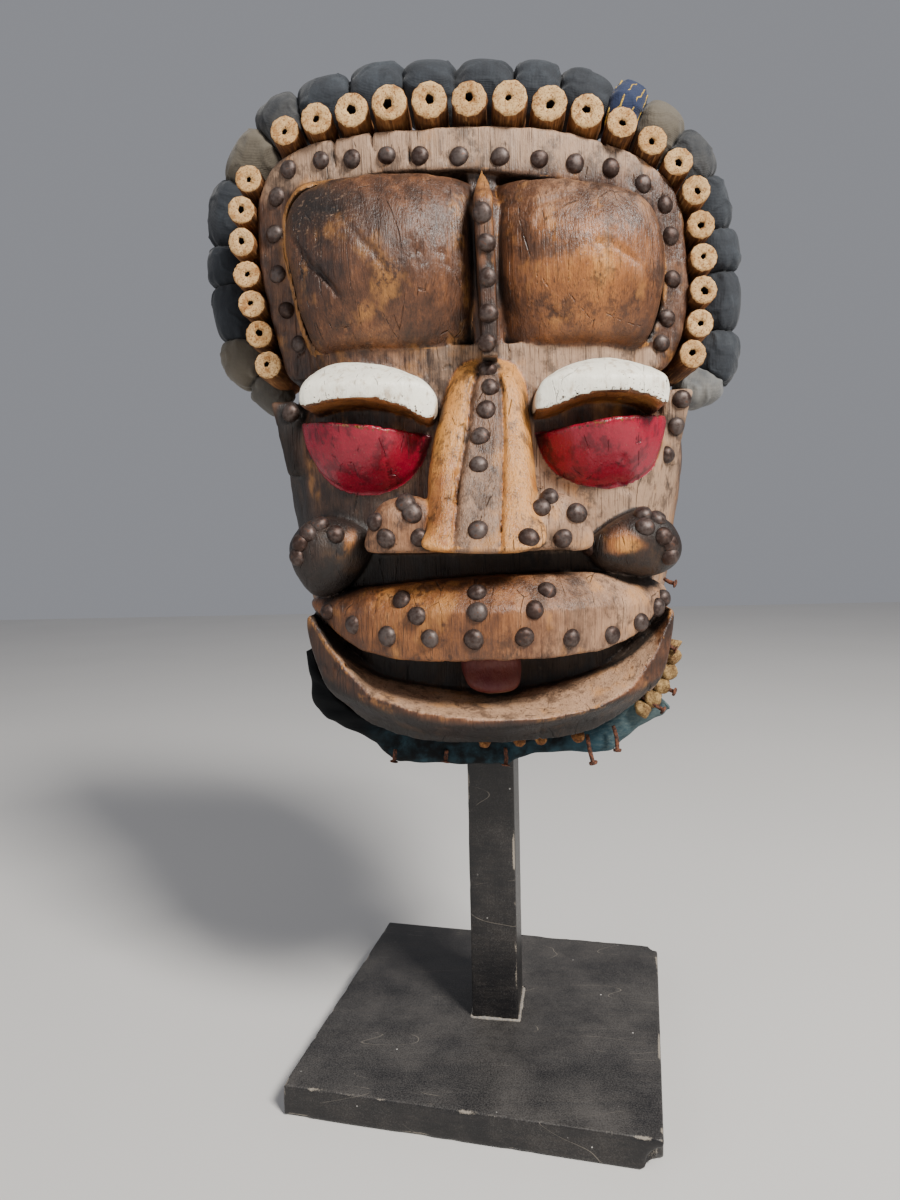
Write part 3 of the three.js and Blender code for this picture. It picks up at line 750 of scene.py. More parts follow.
# Iron tacks, each set where a line from the eye through its aim meets the wood
tack = {
    "radius": 4.9,
    "height": 3.5,
    "sides": 18,
    "sunk": 0.4,  # into the wood
    "outline": [(0.97, -0.9), (1.0, 0.0), (0.985, 0.16), (0.88, 0.5), (0.68, 0.8), (0.4, 0.96),
                (0.15, 1.0)],
    "border": [(-99, -45, 417), (-105, -45, 435), (-109, -45, 454), (-110, -45, 475), (-108, -45, 494),
               (-101, -45, 508), (-81, -58, 506), (-65, -58, 506), (-47, -58, 507), (-30, -58, 506),
               (-10, -58, 505), (11, -58, 504), (31, -58, 502), (49, -58, 499), (67, -58, 496),
               (85, -50, 491), (97, -45, 482), (100, -45, 466), (101, -45, 444), (98, -45, 424),
               (95, -45, 411)],
    "ridge": [(1, -88, 465), (3, -88, 451), (3, -88, 435), (3, -88, 418), (2, -88, 404)],
    "nose": [(2, -110, 387), (3, -110, 379), (1, -110, 369), (-2, -110, 357), (-3, -110, 344),
             (-4, -110, 314)],
    "nostrils": [(26, -102, 324), (20, -102, 310), (36, -102, 309), (43, -102, 321), (48, -102, 304),
                 (30, -102, 329), (-48, -102, 311), (-32, -102, 311), (-35, -102, 323),
                 (-53, -102, 319), (-38, -102, 328)],
    "horns": [(-74, -90, 314), (-82, -90, 319), (-88, -90, 315), (-93, -86, 310), (-96, -82, 303),
              (77, -90, 314), (86, -90, 309), (76, -90, 320), (83, -90, 318), (91, -84, 305),
              (90, -86, 299)],
    "lip": [(-93, -62, 276), (-85, -62, 273), (-67, -92, 269), (-50, -92, 263), (-41, -105, 282),
            (-34, -105, 274), (-28, -105, 263), (-5, -112, 285), (-5, -112, 276), (-7, -112, 263),
            (28, -106, 285), (22, -106, 276), (17, -106, 263), (39, -106, 262), (61, -88, 261),
            (75, -88, 267), (88, -66, 272), (91, -66, 277)],
    "temples": [(105, -48, 381), (102, -48, 367), (97, -48, 352), (-104, -48, 380)],
}


# Steps round a full turn
def turnOf(sides):
    return np.arange(sides) / sides * 2 * math.pi


# Quads between rings of n points that follow one another
def ringQuads(rings, n, inward=False):
    faces = []
    for start in range(0, (rings - 1) * n, n):
        for i in range(n):
            j = (i + 1) % n
            quad = (start + i, start + j, start + n + j, start + n + i)
            faces.append((quad[0], *quad[:0:-1]) if inward else quad)
    return faces


# A hammered dome with a thin brim, as rings round its own up axis
def tackHead(seed):
    rng = np.random.default_rng(seed)
    n, outline = tack["sides"], tack["outline"]
    around = turnOf(n)
    dent = 1 + 0.035 * np.sin(2 * around + rng.uniform(0, 6)) + 0.02 * np.sin(3 * around + rng.uniform(0, 6))
    x, y = dent * np.cos(around), dent * np.sin(around)
    wide = tack["radius"] * rng.uniform(0.93, 1.05)
    rings = [np.stack([r * x, r * y, np.full(n, h)], 1) for r, h in outline]
    points = np.concatenate(rings + [np.array([[0, 0, 1.0]])])
    points *= np.array([wide, wide, tack["height"] * rng.uniform(0.85, 1.08)])
    last = (len(outline) - 1) * n
    faces = ringQuads(len(outline), n)
    faces += [(last + i, last + (i + 1) % n, last + n) for i in range(n)]
    faces.append(tuple(range(n - 1, -1, -1)))
    return points, faces


# Several sets of points and faces as one
def gather(parts):
    points, faces, start = [], [], 0
    for p, f in parts:
        points.append(p)
        faces += [tuple(i + start for i in face) for face in f]
        start += len(p)
    return np.concatenate(points), faces


maskTree = BVHTree.FromPolygons([tuple(p) for p in pointsOf(mask)],
                                [tuple(f.vertices) for f in mask.data.polygons])
eye = Vector(view["place"])
heads = []
for group in ("border", "ridge", "nose", "nostrils", "horns", "lip", "temples"):
    for aim in tack[group]:
        hit, normal, _, _ = maskTree.ray_cast(eye, (Vector(aim) - eye).normalized())
        if hit is None:
            print("no wood under a tack at", aim)
            continue
        beside = [Vector(d) for d in ((3, 0, 0), (-3, 0, 0), (0, 0, 3), (0, 0, -3))]
        near = [maskTree.find_nearest(hit + step)[1] for step in beside]
        upward = (normal + sum(near, Vector())).normalized()
        turn = upward.to_track_quat("Z", "Y").to_matrix()
        points, faces = tackHead(len(heads))
        heads.append((points @ np.array(turn).T + np.array(hit) - np.array(upward) * tack["sunk"], faces))
tacks = declare(meshObject("tacks", *gather(heads)))
print("tacks", len(heads))

# Sticks with a pith hole, split and worn
stick = {
    "sides": 30,
    "hole": 0.2,  # of the radius
    # The cut face: share of the way out from the hole, and depth
    "face": [(0.0, 7), (0.0, 1.2), (0.02, 0.0), (0.3, 0.1), (0.55, -0.15), (0.78, 0.0), (0.93, 0.15),
             (1.0, 1.0)],
    "length": (0.06, 0.16, 0.3, 0.45, 0.6, 0.75, 0.9, 0.985, 1.0),
    "farEnd": 0.9,  # of the radius
}


def makeStick(index):
    name = "stick_%02d" % index
    low, high = boxOf(name)
    rng = np.random.default_rng(100 + index)
    middle = (low + high) / 2
    radius = (high[0] - low[0]) / 2 * 0.99
    n = stick["sides"]
    around = turnOf(n)
    flats = rng.integers(5, 8)
    flat = 1 - 0.045 * np.cos(flats * around + rng.uniform(0, 6)) ** 2
    flat = flat - 0.03 * np.sin(around + rng.uniform(0, 6)) ** 2
    holeRadius = radius * stick["hole"] * rng.uniform(0.8, 1.35)
    shift = rng.uniform(-0.1, 0.1, 2) * radius
    uneven = 1 + 0.12 * np.cos(2 * around + rng.uniform(0, 6)) + 0.07 * np.cos(5 * around + rng.uniform(0, 6))
    tilt = rng.uniform(-0.09, 0.09, 2)
    rings = []
    for share, deep in stick["face"]:
        r = mix(holeRadius * uneven, radius * flat, share)
        x, z = r * np.cos(around), r * np.sin(around)
        x, z = x + shift[0] * (1 - share), z + shift[1] * (1 - share)
        chips = rng.uniform(-0.35, 0.35, n) * (0 < share < 1)
        y = low[1] + deep + chips + tilt[0] * x + tilt[1] * z
        if share == 1:
            y = y + 1.4 * np.clip(rng.normal(0, 0.5, n), -0.3, 1.2)
        rings.append(np.stack([middle[0] + x, y, middle[2] + z], 1))
    length = high[1] - low[1]
    for t in stick["length"]:
        worn = flat * (1 + 0.02 * rng.normal(0, 1, n)) * (stick["farEnd"] if t == 1 else 0.99)
        x, z = radius * worn * np.cos(around), radius * worn * np.sin(around)
        rings.append(np.stack([middle[0] + x, np.full(n, low[1] + t * length), middle[2] + z], 1))
    points = np.concatenate(rings)
    last = (len(rings) - 1) * n
    faces = [(n - 1, *range(n - 1))]
    faces += [(b, a, d, c) for a, b, c, d in ringQuads(len(rings), n)]
    faces.append((last, *range(last + n - 1, last, -1)))
    made = meshObject("crown_" + name, points, faces)
    ring = np.arange(len(points)) // n
    giveFloat(made, "cutEnd", (ring > 0) & (ring < 7))
    # The hole's walls and floor, painted near black as shade
    giveFloat(made, "holeShade", ring < 2)
    giveFloat(made, "tone", np.full(len(points), rng.uniform(-1, 1)))
    return declare(made, name)


sticks = [makeStick(i) for i in range(1, 26)]
print("sticks", len(sticks))


# A tube along a line of points, with a radius and an unevenness for each ring
def tube(line, radii, sides, lumps, seed):
    line, radii = np.array(line, float), np.array(radii, float)
    rng = np.random.default_rng(seed)
    tangent = np.gradient(line, axis=0)
    tangent /= np.linalg.norm(tangent, axis=1)[:, None]
    helper = np.array([0, 1, 0]) if abs(tangent[0][1]) < 0.8 else np.array([1, 0, 0])
    across = np.cross(tangent, helper)
    across /= np.linalg.norm(across, axis=1)[:, None]
    other = np.cross(tangent, across)
    around = turnOf(sides)
    rings = []
    for p, a, b, r in zip(line, across, other, radii):
        uneven = 1 + lumps * rng.uniform(-1, 1, sides)
        rings.append(p + (a * np.cos(around)[:, None] + b * np.sin(around)[:, None]) * (r * uneven)[:, None])
    faces = ringQuads(len(rings), sides, inward=True)
    faces.append(tuple(range(sides)))
    faces.append(tuple((len(rings) - 1) * sides + i for i in range(sides))[::-1])
    return np.concatenate(rings), faces


# The cloth roll, tied into lobes that press against each other
roll = {
    # Of each lobe, left to right: length, lightness, warmth
    "lobes": [29, 33, 41, 27, 41, 36, 29, 37, 37, 34, 36, 31, 36, 22, 27, 30, 33, 28, 40, 33, 28],
    "light": [0.5, 0.6, 0.1, 0.2, 0.05, 0.45, 0.3, 0.2, 0.3, 0.2, 0.15, 0.25, 0.1, 0.2, 0.5, 0.3, 0.2, 0.3,
              0.1, 0.2, 0.9],
    "warm": [0.7, 0.9, 0, 0.2, 0, 0.9, 0.4, 0.1, 0, 0, 0, 0, 0.1, 0, 0.9, 0.4, 0.2, 0.1, 0, 0.2, 0.4],
    "sides": 44,
    "stepsPerLobe": 16,
    "topRadius": 17.2,
    "sideRadius": 13.2,
    "clear": 0.8,  # of the sticks
    "depth": -14,  # of its middle over the brow
    "bend": 500,  # radius in plan
    "leftEnd": ((-117, 390), 10.0),
    "rightEnd": ((113, 391), 9.0),
    "pinch": 0.5,  # what is left of the radius under a tie
    "wrinkle": 0.7,
    "waver": 0.7,
    "knot": 13,  # the lobe that is a knot wound with thread
    "knotSwell": 0.1,
    "turns": [4, 7, 9, 12],  # where the thread goes round it, in steps
    "thread": 0.55,  # its radius
}


# The roll's middle line, outside the row of sticks from the left end to the right
def rollLine():
    found = []
    for i in range(25, 0, -1):
        low, high = boxOf("stick_%02d" % i)
        found.append((*((low + high) / 2)[[0, 2]], (high[0] - low[0]) / 2))
    found = np.array(found)
    away = np.gradient(found[:, :2], axis=0)
    away = np.stack([-away[:, 1], away[:, 0]], 1)
    away /= np.linalg.norm(away, axis=1)[:, None]
    radius = mix(roll["sideRadius"], roll["topRadius"], smooth(0.45, 0.9, away[:, 1]))
    line = found[:, :2] + away * (found[:, 2] + roll["clear"] + radius)[:, None]
    (leftPlace, leftRadius), (rightPlace, rightRadius) = roll["leftEnd"], roll["rightEnd"]
    line = np.concatenate([[leftPlace], line[1:], [rightPlace]])
    return line, np.concatenate([[leftRadius], radius[1:], [rightRadius]])


# A few turns of thread over the knot, leaning each way
def windThread(rings):
    n = roll["sides"]
    start = roll["knot"] * roll["stepsPerLobe"]
    turns = []
    for i, step in enumerate(roll["turns"]):
        wander = [start + step + int(round(2 * math.sin(a + i))) for a in turnOf(n)]
        ring = np.array([rings[k][j] for j, k in enumerate(wander)])
        path = ring.mean(0) + (ring - ring.mean(0)) * 0.99
        path = np.roll(path, -n // 2, axis=0)[n // 10:-n // 5]
        turns.append(tube(path, np.full(len(path), roll["thread"]), 6, 0.1, i))
    return declare(meshObject("knotThread", *gather(turns)))


def makeRoll():
    line, radius = rollLine()
    fine = splineThrough(line, closed=False, each=12)
    along = np.concatenate([[0], np.cumsum(np.linalg.norm(np.diff(fine, axis=0), axis=1))])
    size = np.interp(np.arange(len(fine)) / 12, np.arange(len(radius)), radius)
    ends = np.cumsum([0] + roll["lobes"])
    ends = ends / ends[-1] * along[-1]
    rng = np.random.default_rng(7)
    n = roll["sides"]
    around = turnOf(n)
    rings = []
    given = {"light": [], "warm": [], "tieShade": [], "navy": []}
    for k, (start, stop) in enumerate(zip(ends[:-1], ends[1:])):
        swell = rng.uniform(0.96, 1.05) + roll["knotSwell"] * (k == roll["knot"])
        lean = rng.uniform(-0.6, 0.6)
        for u in (np.arange(roll["stepsPerLobe"]) + 0.5) / roll["stepsPerLobe"]:
            u = 0.5 - 0.5 * math.cos(math.pi * u) if k % 2 else u
            s = mix(start, stop, u)
            x, z = np.interp(s, along, fine[:, 0]), np.interp(s, along, fine[:, 1])
            nearby = [np.interp(s + d, along, fine[:, a]) for a in (0, 1) for d in (-3, 3)]
            tangent = np.array([nearby[1] - nearby[0], nearby[3] - nearby[2]])
            tangent /= np.linalg.norm(tangent)
            outward = np.array([-tangent[1], tangent[0]])
            puff = (1 - abs(2 * u - 1) ** 3.0) ** (1 / 2.2)
            r = np.interp(s, along, size) * swell * mix(roll["pinch"], 1.0, puff)
            gathered = (1 - puff) ** 0.8
            folds = 1 + 0.09 * gathered * np.sin(13 * around + 3 * k)
            folds = folds + 0.1 * gathered * np.sin(7 * around + 7 * k + lean)
            folds = folds + 0.018 * np.sin(4 * around + 5 * k)
            section = r * folds
            slant = lean * 2.5 * np.sin(around)
            px = x + outward[0] * section * np.cos(around) + tangent[0] * slant
            pz = z + outward[1] * section * np.cos(around) + tangent[1] * slant
            py = roll["depth"] + x * x / (2 * roll["bend"]) + section * np.sin(around) * 1.04
            rings.append(np.stack([px, py, pz], 1))
            values = roll["light"][k], roll["warm"][k], 1 - puff, float(k == roll["knot"])
            for held, value in zip(given.values(), values):
                held.append(np.full(n, value))
    points = np.concatenate(rings + [[rings[0].mean(0), rings[-1].mean(0)]])
    a, b, last = len(points) - 2, len(points) - 1, (len(rings) - 1) * n
    faces = ringQuads(len(rings), n)
    faces += [(i, a, (i + 1) % n) for i in range(n)]
    faces += [(last + i, last + (i + 1) % n, b) for i in range(n)]
    made = meshObject("clothRoll", points, faces)
    caps = {"light": 0.5, "warm": 0.5, "tieShade": 1.0, "navy": 0.0}
    for name, held in given.items():
        giveFloat(made, name, np.concatenate(held + [[caps[name]] * 2]))
    applied(made, "SUBSURF", levels=1, render_levels=1)
    points, normals = pointsOf(made), normalsOf(made)
    fold = np.abs(fractal(points, (14, 20, 14), 71, 2, 0.5))
    move = -roll["wrinkle"] * smooth(0.16, 0.0, fold) + roll["waver"] * latticeNoise(points, (19, 19, 19), 81)
    movePoints(made, points + normals * move[:, None])
    shadeSmooth(made)
    declare(made, "cloth_roll")
    return made, windThread(rings)


clothRoll, knotThread = makeRoll()
print("cloth roll", len(clothRoll.data.polygons), "faces")


# The cloth strip nailed round the jaw, pulled into scallops between its nails
strip = {
    "edge": [(-101, 250), (-100, 240), (-99, 232), (-99, 222), (-93, 214), (-84, 208), (-69, 201), (-61, 194),
             (-53, 187), (-41, 186), (-19, 184.5), (-1, 184.5), (8, 184), (17, 188), (30, 191), (53, 190.5),
             (67, 191.5), (75, 199), (85, 206), (95, 211), (99, 214)],
    "inside": [(-97, 251), (-93, 238), (-88, 229), (-82, 222), (-76, 217), (-68, 212), (-58, 208), (-50, 205),
               (-42, 203.5), (-32, 203), (-16, 203), (-2, 203), (8, 203), (17, 203), (30, 203), (46, 204.5),
               (58, 207), (66, 211), (75, 217), (82, 224), (86, 229)],
    # Across the strip: share of the way out to the edge, and depth
    "rows": [(0.0, -50.0), (0.3, -50.5), (0.6, -50.6), (0.86, -49.5), (1.0, -45.0), (0.97, -39.0),
             (0.84, -33.0), (0.6, -28.0), (0.32, -24.0), (0.06, -22.0)],
    "thickness": 1.3,
    "flat": (0.044, 0.24),  # metres
}


def makeStrip():
    edge = splineThrough(strip["edge"], closed=False, each=7)
    inside = splineThrough(strip["inside"], closed=False, each=7)
    n, m = len(edge), len(strip["rows"])
    points = []
    for i in range(n):
        for k, (share, depth) in enumerate(strip["rows"]):
            x, z = mix(inside[i], edge[i], share)
            ripple = 0.7 * math.sin(i * 0.55 + k * 0.4) * (0.2 < share)
            points.append((x, depth + ripple, z + 0.4 * math.sin(i * 0.9 + k)))
    faces = [(a, a + 1, a + m + 1, a + m) for i in range(n - 1) for a in range(i * m, i * m + m - 1)]
    made = meshObject("jawStrip", points, faces)
    applied(made, "SUBSURF", levels=1, render_levels=1)
    applied(made, "SOLIDIFY", thickness=strip["thickness"] * mm, offset=-1)
    declare(made, "jaw_strip")
    return made


jawStrip = makeStrip()

# Nails and pegs through the strip, each from its root to its head
nail = {
    "places": [((92, -57, 254), (99, -60, 249)), ((88, -54, 232), (99, -58, 226)),
               ((82, -54, 223), (93, -58, 216)), ((52, -58, 204), (55, -60, 188)),
               ((66, -56, 208), (68, -57, 194)), ((8, -53, 196), (8, -54, 186)),
               ((-52, -53, 196), (-53, -54, 189)), ((-24, -52, 195), (-25, -53, 188)),
               ((96, -44, 286), (102, -46, 283))],
    "radius": 1.1,
    # Along it: share of its length, and of its radius
    "profile": [(0, 0.8), (0.2, 1), (0.4, 0.95), (0.6, 1.05), (0.8, 1), (0.9, 1), (0.905, 2.0), (0.94, 2.15),
                (0.985, 1.9), (1.0, 0.9)],
    "bow": 0.8,  # how far it may be bent
}
peg = {
    "places": [((-3, -62, 207), (-3, -72, 202)), ((14, -60, 207), (16, -68, 201)),
               ((26, -60, 207), (27, -68, 202)), ((45, -60, 208), (47, -68, 203))],
    "radius": 3.4,
    "profile": [0.9, 1, 1.03, 0.98, 1, 0.97, 0.82, 0.35],
}


def makeNail(root, head, seed):
    root, head = np.array(root, float), np.array(head, float)
    t, sizes = np.array(nail["profile"]).T
    bow = np.random.default_rng(seed).uniform(-nail["bow"], nail["bow"], 3)
    line = root + (head - root) * t[:, None] + bow * np.sin(math.pi * t)[:, None]
    return tube(line, sizes * nail["radius"], 12, 0.06, seed)


def makePeg(root, head, seed):
    root, head = np.array(root, float), np.array(head, float)
    sizes = np.array(peg["profile"]) * peg["radius"]
    line = root + (head - root) * np.linspace(0, 1, len(sizes))[:, None]
    return tube(line, sizes, 14, 0.07, seed)


nails = [makeNail(*ends, i) for i, ends in enumerate(nail["places"])]
nails = declare(meshObject("nails", *gather(nails)))
pegs = [makePeg(*ends, 40 + i) for i, ends in enumerate(peg["places"])]
pegs = declare(meshObject("jawPegs", *gather(pegs)))

# Fibre rope bound along the right of the jaw, in short tight lumps
rope = {
    "line": [(79, 214), (85, 219), (90, 226), (94, 233), (97, 241), (98, 249), (98, 254)],
    "depth": -54,
    "radius": 4.6,
    "lumps": 6,
    "strands": 3,
    "sides": 30,
}


def makeRope():
    line = splineThrough(rope["line"], closed=False, each=16)
    n, sides = len(line), rope["sides"]
    around = turnOf(sides)
    points = []
    for i, (x, z) in enumerate(line):
        t = i / (n - 1)
        x0, z0 = line[max(i - 1, 0)]
        x1, z1 = line[min(i + 1, n - 1)]
        along = np.array([x1 - x0, z1 - z0])
        along /= np.linalg.norm(along)
        lump = abs(math.sin(math.pi * t * rope["lumps"])) ** 0.6
        taper = float(smooth(0, 0.06, min(t, 1 - t)))
        r = rope["radius"] * mix(0.55, 1.0, lump) * mix(0.3, 1.0, taper)
        r = r * (1 + 0.13 * np.cos(rope["strands"] * around + t * 34) + 0.04 * np.cos(11 * around + t * 60))
        out = np.array([along[1], -along[0]])
        points.append(np.stack([x + out[0] * r * np.cos(around), rope["depth"] + r * np.sin(around),
                                z + out[1] * r * np.cos(around)], 1))
    faces = ringQuads(n, sides)
    faces += [tuple(range(sides))[::-1], tuple((n - 1) * sides + k for k in range(sides))]
    return declare(meshObject("jawRope", np.concatenate(points), faces), "jaw_rope")


jawRope = makeRope()
print("jaw strip, nails, pegs and rope")


# The stand: a plate and a post of painted wood, knocked at their edges
stand = {
    "base": (200, 190, 17),
    "baseTurn": -11.1,
    "post": (28, 36, 481.5),
    "postTurn": -7.4,
    "round": 1.1,  # of the edges
    "knocks": 1.3,  # depth of the dents along them
    # Corners knocked off the plate, and how far from the corner
    "broken": [((1, -1, -1), (11, 11, 15)), ((1, 1, 1), (7, 7, 12))],
    "glue": 1.0,  # radius of the bead
}


# A block with rounded, knocked edges, on a turned frame
def paintedBlock(name, node, size, turn, cuts, seed, broken=()):
    low, high = boxOf(node)
    middle = (low + high) / 2
    half = np.array(size) / 2
    grids = [np.sin(np.linspace(-1, 1, c + 1) * math.pi / 2) for c in cuts]
    points, faces = [], []
    for axis in range(3):
        u, v = (axis + 1) % 3, (axis + 2) % 3
        for side in (-1, 1):
            start = len(points)
            for a in grids[u]:
                for b in grids[v]:
                    p = np.zeros(3)
                    p[axis], p[u], p[v] = side, a, b
                    points.append(p * half)
            wide = len(grids[v])
            for i in range(len(grids[u]) - 1):
                for j in range(wide - 1):
                    a = start + i * wide + j
                    quad = (a, a + wide, a + wide + 1, a + 1)
                    faces.append(quad if side > 0 else quad[::-1])
    points = np.array(points)
    # Large and small dents near the edges make them look handled
    edge = np.sort(np.abs(half - np.abs(points)), axis=1)[:, 1]
    dents = latticeNoise(points, (13, 13, 13), seed) + 0.5 * latticeNoise(points, (4, 4, 4), seed + 1)
    knocked = smooth(0.1, 0.75, dents)
    radius = stand["round"] + stand["knocks"] * knocked
    inner = np.clip(points, -(half[None, :] - radius[:, None]), half[None, :] - radius[:, None])
    away = points - inner
    length = np.linalg.norm(away, axis=1)
    points = inner + away / np.maximum(length, 1e-6)[:, None] * np.minimum(length, radius)[:, None]
    worn = smooth(3.2, 0.4, edge) * mix(0.35, 1.0, knocked)
    for corner, reach in broken:
        near = np.linalg.norm((points - np.array(corner) * half) / np.array(reach), axis=1)
        push = smooth(1, 0.2, near) * (0.75 + 0.25 * latticeNoise(points, (3, 3, 3), seed + 5))
        points = points - push[:, None] * np.array(corner) * np.array(reach) * 0.42
        worn = np.maximum(worn, push)
    points = points + 0.12 * latticeNoise(points, (30, 30, 30), seed + 9)[:, None] * np.sign(-points) * 0.5
    a = math.radians(turn)
    spin = np.array([[math.cos(a), -math.sin(a), 0], [math.sin(a), math.cos(a), 0], [0, 0, 1]])
    made = meshObject(name, points @ spin.T + middle, faces)
    giveFloat(made, "worn", worn)
    merge = bmesh.new()
    merge.from_mesh(made.data)
    bmesh.ops.remove_doubles(merge, verts=merge.verts, dist=0.00002)
    merge.to_mesh(made.data)
    merge.free()
    return declare(made, node)


standBase = paintedBlock("standBase", "stand_base", stand["base"], stand["baseTurn"], (60, 60, 12), 5,
                         stand["broken"])
standPost = paintedBlock("standPost", "stand_post", stand["post"], stand["postTurn"], (12, 12, 150), 15)


# A bead of old glue round the post's foot
def makeGlue():
    low, high = boxOf("stand_post")
    middle = (low + high) / 2
    w, d = stand["post"][0] / 2 + 0.6, stand["post"][1] / 2 + 0.6
    corner = np.array([(-w, -d), (w, -d), (w, d), (-w, d), (-w, -d)])
    a = math.radians(stand["postTurn"])
    line = []
    for t in np.arange(120) / 30:
        x, y = mix(corner[int(t)], corner[int(t) + 1], t - int(t))
        line.append((x * math.cos(a) - y * math.sin(a), x * math.sin(a) + y * math.cos(a)))
    line = np.array(line + line[:1]) + middle[:2]
    wander = latticeNoise(np.column_stack([line, np.zeros(len(line))]), (6, 6, 6), 3)
    points = np.column_stack([line, np.full(len(line), boxOf("stand_base")[1][2] + 0.1)])
    bead = tube(points, stand["glue"] + 0.55 * wander, 8, 0.2, 3)
    return declare(meshObject("glueLine", *bead))


glueLine = makeGlue()
print("stand", len(standBase.data.polygons), len(standPost.data.polygons))


# A shader socket that can be added, subtracted, multiplied and blended
class Wire:

    def __init__(self, tree, socket=None):
        self.tree = tree
        self.socket = socket

    # Any node, from its type, its settings, then the values or links of its sockets
    def node(self, kind, settings=None, inputs=None, output=0):
        made = self.tree.nodes.new("ShaderNode" + kind)
        for key, value in (settings or {}).items():
            setattr(made, key, value)
        for key, value in (inputs or {}).items():
            if isinstance(value, Wire):
                self.tree.links.new(value.socket, made.inputs[key])
            else:
                made.inputs[key].default_value = value
        return Wire(self.tree, made.outputs[output])

    def maths(self, operation, *values):
        return self.node("Math", {"operation": operation}, dict(enumerate(values)))

    def __add__(self, other):
        return self.maths("ADD", self, other)

    def __radd__(self, other):
        return self.maths("ADD", other, self)

    def __sub__(self, other):
        return self.maths("SUBTRACT", self, other)

    def __rsub__(self, other):
        return self.maths("SUBTRACT", other, self)

    def __mul__(self, other):
        return self.maths("MULTIPLY", self, other)

    def __rmul__(self, other):
        return self.maths("MULTIPLY", other, self)

    def __abs__(self):
        return self.maths("ABSOLUTE", self)

    # A soft step from 0 at low to 1 at high
    def between(self, low, high):
        return self.node("MapRange", {"interpolation_type": "SMOOTHSTEP"},
                         {"Value": self, "From Min": low, "From Max": high})

    # A colour between two others, by this mask
    def blend(self, first, second):
        return self.node("Mix", {"data_type": "RGBA", "clamp_factor": True},
                         {0: self, 6: first, 7: second}, output=2)

    # This place in units of a size in millimetres, stretched along some axes and shifted
    def scaled(self, size, stretch, shift):
        scale = [1 / (mm * size * s) for s in stretch]
        place = self.node("VectorMath", {"operation": "MULTIPLY"}, {0: self, 1: scale})
        return place.node("VectorMath", {"operation": "ADD"}, {0: place, 1: shift})

    # Noise with lumps of a size
    def noise(self, size, stretch=(1, 1, 1), detail=3.0, rough=0.55, shift=0.0):
        place = self.scaled(size, stretch, (shift, shift * 0.7, shift * 1.3))
        return place.node("TexNoise", {},
                          {"Vector": place, "Scale": 1.0, "Detail": detail, "Roughness": rough})

    # Distance to the edge or the middle of cells of a size
    def cells(self, size, stretch=(1, 1, 1), feature="DISTANCE_TO_EDGE", shift=0.0):
        place = self.scaled(size, stretch, (shift, shift, shift))
        return place.node("TexVoronoi", {"feature": feature},
                          {"Vector": place, "Scale": 1.0}, output="Distance")

    def part(self, axis):
        return self.node("SeparateXYZ", {}, {"Vector": self}, output=axis)

    # A value given to each point of the mesh
    def attribute(self, name):
        return self.node("Attribute", {"attribute_name": name}, output="Fac")


# A linear colour from the three numbers of a screen colour
def tint(red, green, blue):
    def linear(c):
        c /= 255
        return c / 12.92 if c <= 0.04045 else ((c + 0.055) / 1.055) ** 2.4
    return (linear(red), linear(green), linear(blue), 1.0)


# A new finish: its fixed values, then a function that gives what varies over the surface
def newFinish(name, fixed, varying):
    material = bpy.data.materials.new(name)
    material.use_nodes = True
    tree = material.node_tree
    shader = tree.nodes["Principled BSDF"]
    for key, value in fixed.items():
        shader.inputs[key].default_value = value
    found = varying(Wire(tree).node("TexCoord", output="Object"))
    if "Height" in found:
        height = found.pop("Height")
        strength, distance = found.pop("Bump")
        found["Normal"] = height.node("Bump", {},
                                      {"Height": height, "Strength": strength, "Distance": distance * mm})
    for key, value in found.items():
        tree.links.new(value.socket, shader.inputs[key])
    return material


# Carved wood, oiled and handled, with painted lids, eyes and tongue
woodLook = {
    "dark": tint(40, 24, 16),
    "brown": tint(100, 62, 38),
    "amber": tint(158, 98, 50),
    "honey": tint(206, 142, 72),
    # Pale tan for dust, scratches and painted light
    "dust": tint(182, 148, 120),
    # Near black for soot, painted shade and checks
    "sootAndShade": tint(20, 16, 14),
    "kaolin": tint(255, 250, 232),
    "stain": tint(150, 112, 72),
    "red": tint(152, 20, 46),
    "darkRed": tint(70, 12, 24),
    "tongue": tint(84, 8, 18),
}


